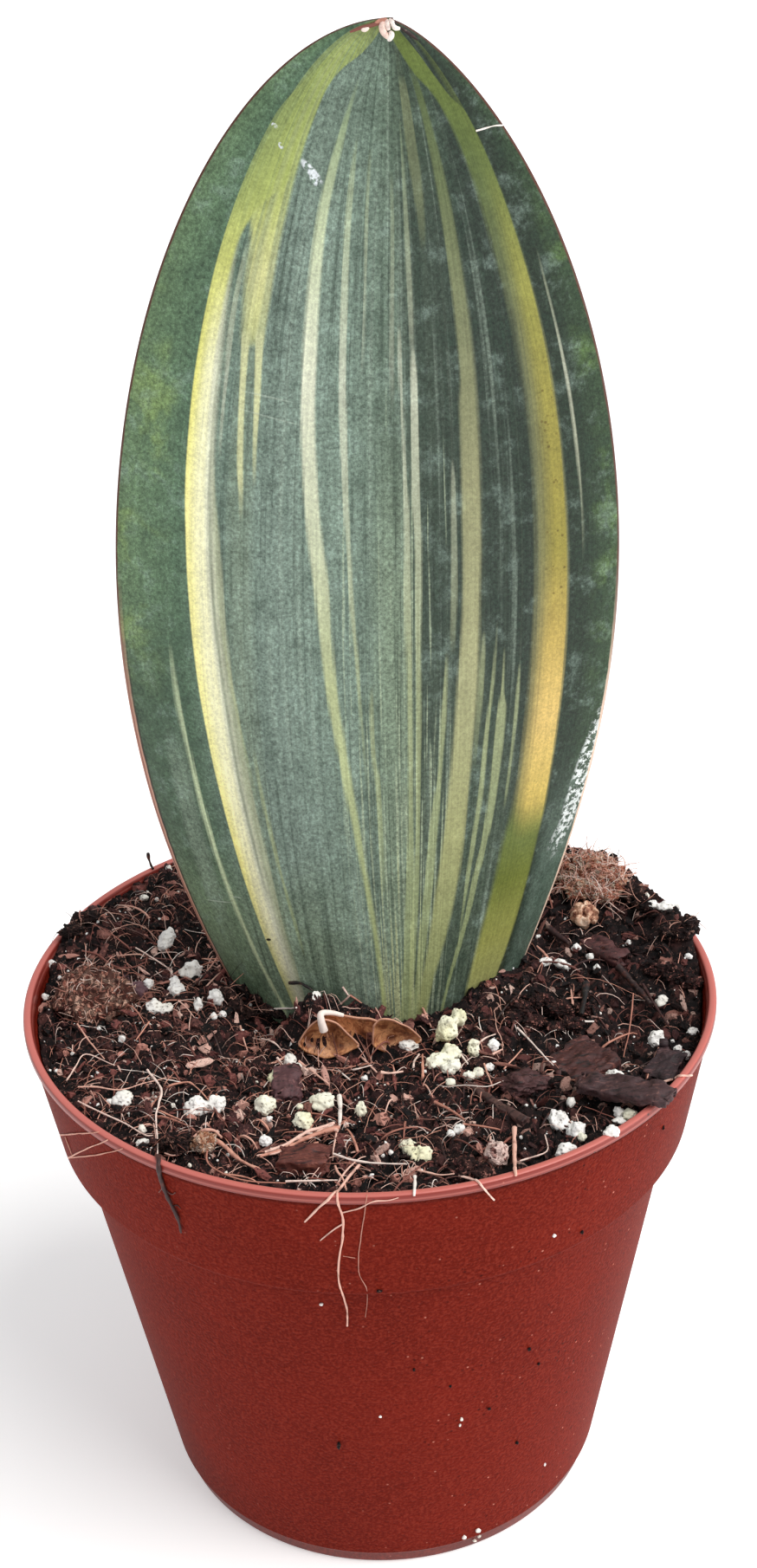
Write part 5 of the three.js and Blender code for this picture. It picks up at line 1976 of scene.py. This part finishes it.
# %% [markdown]
# ## The dry scale at the leaf's foot
#
# A snake plant's leaf grows out of short sheathing scales, which dry to thin amber shells. Here
# one has torn into two cupped lobes with a sheet between them. A cup is hard to get from a
# box, so each lobe is drawn as two edges, an upper rim and a lower one, and the surface between
# them is pressed back like a spoon. The Solidify modifier gives it the thickness of dry skin.

# %% Shape the lobes
SCALE_COLUMNS = 26
SCALE_ROWS = 12
SCALE_SKIN = 0.35 * MM
LOBES = [
    {"depth": -20.6, "cup": 2.6,
     "rim": [(345, 1203), (355, 1188), (368, 1177), (385, 1179), (400, 1192), (414, 1206)],
     "foot": [(345, 1206), (352, 1213), (366, 1219), (381, 1221), (398, 1216), (414, 1208)]},
    {"depth": -18.6, "cup": 1.2,
     "rim": [(372, 1171), (384, 1170), (398, 1172), (412, 1174), (424, 1175), (436, 1178)],
     "foot": [(378, 1200), (390, 1206), (402, 1209), (414, 1211), (424, 1212), (436, 1211)]},
    {"depth": -20.2, "cup": 2.4,
     "rim": [(431, 1184), (440, 1176), (452, 1177), (464, 1182), (476, 1189), (486, 1199)],
     "foot": [(430, 1206), (440, 1213), (452, 1216), (464, 1213), (476, 1208), (486, 1202)]},
]


def lobe_grid(lobe):
    """Points of one cupped lobe and how near each is to its rim."""
    depth = lobe["depth"] * MM
    edges = []
    for side in ("foot", "rim"):
        corners = [at_depth(px, py, depth) for px, py in lobe[side]]
        line = smooth_path(corners, SCALE_COLUMNS)
        picks = np.linspace(0, len(line) - 1, SCALE_COLUMNS).round().astype(int)
        edges.append([line[k] for k in picks])
    points, near_rim = [], []
    for i, (foot, rim) in enumerate(zip(*edges)):
        s = i / (SCALE_COLUMNS - 1)
        for j in range(SCALE_ROWS):
            t = j / (SCALE_ROWS - 1)
            hollow = (4 * t * (1 - t)) ** 0.7 * (4 * s * (1 - s)) ** 0.5
            crease = noise.noise(Vector((s * 6.0, t * 2.0, depth * 900))) * 0.35
            back = Vector((0.0, (lobe["cup"] * hollow + crease) * MM, -0.5 * hollow * MM))
            points.append(foot.lerp(rim, t) + back)
            near_rim.append(max(t ** 9, (2 * abs(s - 0.5)) ** 20))
    return points, near_rim


scale_points, scale_faces, scale_rim = [], [], []
for lobe in LOBES:
    first = len(scale_points)
    points, near_rim = lobe_grid(lobe)
    scale_points += points
    scale_rim += near_rim
    for i in range(SCALE_COLUMNS - 1):
        for j in range(SCALE_ROWS - 1):
            k = first + i * SCALE_ROWS + j
            scale_faces.append((k, k + SCALE_ROWS, k + SCALE_ROWS + 1, k + 1))
scale_mesh = mesh_from("dry_scale", scale_points, scale_faces)
keep(scale_mesh, "near_rim", scale_rim)
print("scale drawn with", len(scale_points), "points")

# %% Finish the scale
scale_finish, tree, shader = new_finish("dry amber leaf scale")
place = object_place(tree)
blotch = mottle(place, 330.0, 4.0, 0.65, 0.5)
veins = mottle(object_place(tree, (4.0, 1.0, 1.0)), 380.0, 3.0, 0.6)
colour = paint(
    ramp(blotch, [
        (0.3, (76, 38, 24)), (0.45, (160, 98, 64)), (0.58, (232, 168, 118)),
        (0.7, (144, 86, 54)),
    ]),
    (veins.ease(0.55, 0.7) * 0.5, (206, 152, 104)),
    (veins.ease(0.42, 0.3) * 0.5, (62, 30, 18)),
    # the rim and the ends of each lobe are painted pale as a highlight
    ((carried(tree, "near_rim") + (blotch - 0.5) * 0.5).ease(0.5, 1.05), (214, 158, 132)),
)
dress(shader, colour, blotch * 0.2 + 0.36, blotch * 0.4 + veins * 0.6, 0.35 * MM, 0.8)
scale_source = put_in_scene("scale_source", scale_mesh)
for kind, values in (
    ("SUBSURF", {"levels": 1, "render_levels": 1}),
    ("SOLIDIFY", {"thickness": SCALE_SKIN, "offset": 0.0}),
):
    modifier = scale_source.modifiers.new(kind.lower(), kind)
    for key, value in values.items():
        setattr(modifier, key, value)
scale = plain_mesh(scale_source, "dry_scale")
scale.data.materials.append(scale_finish)
hand_over(scale, "dry_sheath", "dry_sheath")

# %% Curl the scale's pale hook: the pixels it crosses and its depth in mm
HOOK = [(396, 1172, -18.8), (382, 1169, -19.6), (371, 1170, -20.8), (371, 1179, -21.6),
        (374, 1190, -21.8)]
hook = smooth_path([at_depth(px, py, depth * MM) for px, py, depth in HOOK])
hook_radii = [MM * (0.45 + 0.5 * k / len(hook)) for k in range(len(hook))]
tubes("scale_hook", [(hook, hook_radii, 0.97)], 10, fibre_finish, "dry_sheath")

# %% Refine the round knot, a little higher than the frame's, as the photograph shows it
KNOT_SKIN = 0.24 * MM
KNOT_LIFT = 2.5 * MM
knot_finish, tree, shader = new_finish("flaky tan knot")
place = object_place(tree)
flake = mottle(place, 520.0, 4.0, 0.65, 1.0)
colour = ramp(flake, [
    (0.36, (84, 40, 32)), (0.46, (164, 108, 84)), (0.56, (224, 180, 150)), (0.68, (248, 224, 202)),
])
dress(shader, colour, flake * 0.2 + 0.6, flake, 0.4 * MM, 0.8)


def petalled(at):
    """Thin shells curled round a middle, like a small rose."""
    turn = math.atan2(at.y, at.x)
    reach = at.length / MM
    curl = abs(math.sin(2.5 * turn + 2.2 * reach + 1.5 * noise.noise(at / (1.5 * MM))))
    return (1.5 * curl ** 0.5 - 0.6 + 0.4 * noise.noise(at / (0.8 * MM))) * MM


refined("round_knot", "coir", knot_finish, KNOT_SKIN, petalled, KNOT_LIFT)
print("the scale and the knot are done")

# %% [markdown]
# ## Clods and fluff
#
# Some of the mix has clotted: pads of tan coir behind the leaf on the right, dark clods that
# hang over the rim, a ball of fibre in front, and a few odd chips. Each clod is a rough ball
# placed by its pixel, and the fluffy ones get a coat of short hairs. A hair starts on a random
# face of the clod and runs along it, so that on a curved clod its end sticks out.


# %% Comb short hairs over a piece
def fuzz(piece, count, lengths, radii, shades, seed, lift=0.5 * MM):
    """Short bent hairs that lie along the upper side of a piece."""
    draw = np.random.default_rng(seed)
    upper = [p for p in piece.data.polygons if p.normal.z > 0.0]
    paths = []
    for face in draw.choice(len(upper), count):
        start, normal = upper[face].center.copy(), upper[face].normal.copy()
        heading = normal.cross(Vector(draw.normal(size=3))).normalized()
        aside = normal.cross(heading) * draw.normal(0, 0.5)
        length = draw.uniform(*lengths)
        radius = draw.uniform(*radii)
        rise = lift * draw.uniform(0.3, 1.6)
        line = []
        for step in range(6):
            share = step / 5
            over = normal * (rise * math.sin(2.2 * share) - 0.1 * MM)
            line.append(start + heading * (length * share) + aside * (length * share ** 2) + over)
        thick = [radius * (1 - 0.12 * step) for step in range(6)]
        paths.append((line, thick, draw.uniform(*shades)))
    return paths


print("hairs are ready")

# %% Set the clods: the pixel, then width and height in pixels
FLUFF = [
    (664, 999, 36, 22), (684, 999, 36, 26), (703, 1010, 32, 22), (716, 1024, 24, 16),
    (676, 1022, 38, 16), (655, 1010, 22, 16), (698, 1032, 26, 13),
]
DARK_CLODS = [
    (729, 1027, 24, 20), (796, 1064, 20, 18), (788, 1074, 22, 14), (708, 990, 9, 9),
    (83, 1072, 22, 10), (104, 1056, 20, 8), (745, 1043, 20, 14), (264, 1146, 14, 16),
    (272, 1160, 16, 16), (772, 1074, 18, 14), (202, 1318, 26, 20), (298, 1152, 13, 10),
    (308, 1163, 15, 11), (322, 1168, 13, 9), (286, 1168, 14, 12),
]
GRANULES = [
    (600, 1158, 26, 14), (622, 1150, 28, 14), (645, 1160, 26, 14), (612, 1176, 26, 12),
    (660, 1178, 24, 12), (640, 1182, 22, 12), (590, 1172, 20, 12), (676, 1160, 20, 12),
    (762, 1114, 26, 13), (782, 1120, 26, 13), (798, 1128, 20, 12), (538, 1345, 30, 18),
    (556, 1350, 20, 14), (380, 1226, 22, 12), (300, 1230, 24, 14),
]
grain_cluster("coir_fluff", FLUFF, fluff_finish, 3, "coir", grit=0.35, sink=0.12, swell=1.6)
grain_cluster("dark_clods", DARK_CLODS, peat_finish, 4, "soil", grit=0.4, sink=0.15, swell=1.5)
grain_cluster("granular_clods", GRANULES, fine_mix_finish, 5, "soil", grit=0.4, sink=0.38, swell=1.5)
grain_cluster("fibre_ball", [(236, 1316, 24, 21), (226, 1321, 14, 12)], ball_finish, 10, "coir",
              grit=0.3, sink=0.1, swell=1.2)

# %% Comb the hairs over the clods
hairy = fuzz(bpy.data.objects["coir_fluff"], 720, (1.5 * MM, 5.0 * MM), (0.08 * MM, 0.17 * MM),
             (0.55, 1.0), 41, lift=1.0 * MM)
hairy += fuzz(bpy.data.objects["coir_lump_fine"], 260, (1.0 * MM, 3.6 * MM),
              (0.07 * MM, 0.17 * MM), (0.55, 0.95), 42)
hairy += fuzz(bpy.data.objects["dark_clods"], 140, (2.0 * MM, 5.0 * MM),
              (0.07 * MM, 0.15 * MM), (0.1, 0.8), 43)
tubes("clod_hairs", hairy, 3, fibre_finish, "coir")

# %% Set the odd chips and the bits that cling to the pot
pebble_finish = bark_like("purple pebble", 60, (62, 42, 48), (98, 66, 74), (140, 104, 106))
grain_cluster("purple_pebble", [(160, 1139, 21, 20), (146, 1128, 13, 9)], pebble_finish, 6, "bark")
grain_cluster("netted_chip", [(573, 1325, 24, 29)], netted_finish, 7, "bark", grit=0.15)
chip_finish = bark_like("flat dark chip", -10, (34, 19, 21), (78, 45, 46), (118, 78, 74))
grain_cluster("flat_dark_chip", [(605, 1243, 54, 24)], chip_finish, 11, "bark", grit=0.25,
              sink=0.3)
CLINGING_WHITE = [
    (536, 1774, 5, 5), (552, 1766, 6, 5), (553, 1773, 4, 4), (548, 1778, 5, 4), (629, 1690, 3, 4),
    (640, 1426, 4, 4), (439, 1635, 3, 3), (371, 1505, 4, 3), (533, 1638, 3, 4), (531, 1645, 3, 3),
]
CLINGING_DARK = [
    (438, 1490, 6, 3), (672, 1422, 4, 4), (611, 1557, 4, 5), (597, 1665, 4, 5), (766, 1301, 3, 6),
    (565, 1626, 4, 3), (391, 1668, 4, 8), (622, 1574, 3, 4), (478, 1581, 3, 4), (520, 1600, 3, 3),
]
grain_cluster("clinging_white", CLINGING_WHITE, perlite_finish, 8, sink=0.1)
grain_cluster("clinging_dark", CLINGING_DARK, crumb_finish, 9, "soil", grit=0.4, sink=0.1)

# %% [markdown]
# ### The dry tip
#
# The leaf's very tip has died back. Its margin rolled up into a brown thread, and a pinkish
# white flap curled down over the face. The few small rolls are strands again, set along the
# outline that the photograph shows, at the depth of the blade's tip.

# %% Curl the dry tip
TIP_ROLLS = [
    (.34, .45, (404, 37), (417, 32), (430, 29), (441, 25), (447, 21)),
    (.42, .66, (433, 27), (440, 24), (447, 22)),
    (.62, .90, (442, 23), (441, 30), (443, 37), (448, 44)),
    (.55, 1.0, (447, 46), (450, 44), (452, 40), (450, 36)),
    (.50, .97, (446, 22), (447, 28), (449, 35)),
    (.45, 1.0, (449, 22), (453, 26), (456, 32), (462, 33)),
    (.34, .05, (455, 25), (457, 29)),
    (.44, .95, (417, 33), (421, 34), (426, 31)),
    (.30, .12, (462, 32), (470, 37), (482, 46)),
]
tip_depth = max(blade.data.vertices, key=lambda v: v.co.z).co.y - 1.2 * MM
tip_paths = []
for radius, shade, *pixels in TIP_ROLLS:
    line = smooth_path([at_depth(px, py, tip_depth) for px, py in pixels])
    off_middle = [abs(2 * k / (len(line) - 1) - 1) for k in range(len(line))]
    tip_paths.append((line, [MM * radius * (1 - 0.5 * off ** 3) for off in off_middle], shade))
tubes("dry_tip", tip_paths, 8, fibre_finish, "leaf")

# %% [markdown]
# ## The rhizome and its roots
#
# Nothing of this shows, but the leaf does not end at the soil: it grows from a thick ringed
# stem that lies under it, and fleshy roots spread from that stem. Each is a path with a
# thickness again. The rings are a small rise and fall of the stem's radius.

# %% Lay the rhizome and the roots
rhizome_finish, tree, shader = new_finish("orange tan rhizome")
stem_skin = mottle(object_place(tree), 180.0, 4.0, 0.6)
colour = ramp(stem_skin, [(0.3, (150, 92, 48)), (0.6, (196, 138, 82))])
dress(shader, colour, stem_skin * 0.3 + 0.5, stem_skin, 0.4 * MM, 0.7)

STEM_MIDDLE = Vector((9.0, -8.0, 74.0)) * MM
STEM_LENGTH = 26.0 * MM
STEM_RADIUS = 9.6 * MM
STEM_TURN = 0.12
ROOTS = 7
stem_way = Vector((math.cos(STEM_TURN), math.sin(STEM_TURN), 0.0))
stem_line, stem_radii = [], []
for k in range(61):
    run = (k / 30 - 1) * (STEM_LENGTH / 2 + STEM_RADIUS) * 0.999
    past = max(0.0, abs(run) - STEM_LENGTH / 2)
    stem_line.append(STEM_MIDDLE + stem_way * run)
    rings = 1 - 0.05 * abs(math.sin(run / (2.2 * MM))) ** 4
    stem_radii.append(math.sqrt(max(STEM_RADIUS ** 2 - past ** 2, (0.3 * MM) ** 2)) * rings)
buried = [(stem_line, stem_radii, 0.5)]
for i in range(ROOTS):
    turn = i / ROOTS * 2 * math.pi + 0.4
    droop = 0.75 + 0.12 * (i % 3)
    length = 26 * MM * (1 + 0.2 * (3 * i % 4))
    start = Vector((9 + 13 * math.cos(turn), -8 + 3.9 * math.sin(turn), 71.0)) * MM
    way = Vector((math.cos(turn) * math.cos(droop), math.sin(turn) * math.cos(droop),
                  -math.sin(droop)))
    line = [start + way * (length * k / 14) for k in range(15)]
    sway = [noise.noise_vector(p / (9 * MM)) * MM * min(1.0, k / 4) for k, p in enumerate(line)]
    radii = [MM * (1.7 - 0.8 * k / 14) for k in range(15)]
    buried.append(([p + s for p, s in zip(line, sway)], radii, 0.5))
tubes("rhizome_and_roots", buried, 20, rhizome_finish, "leaf")
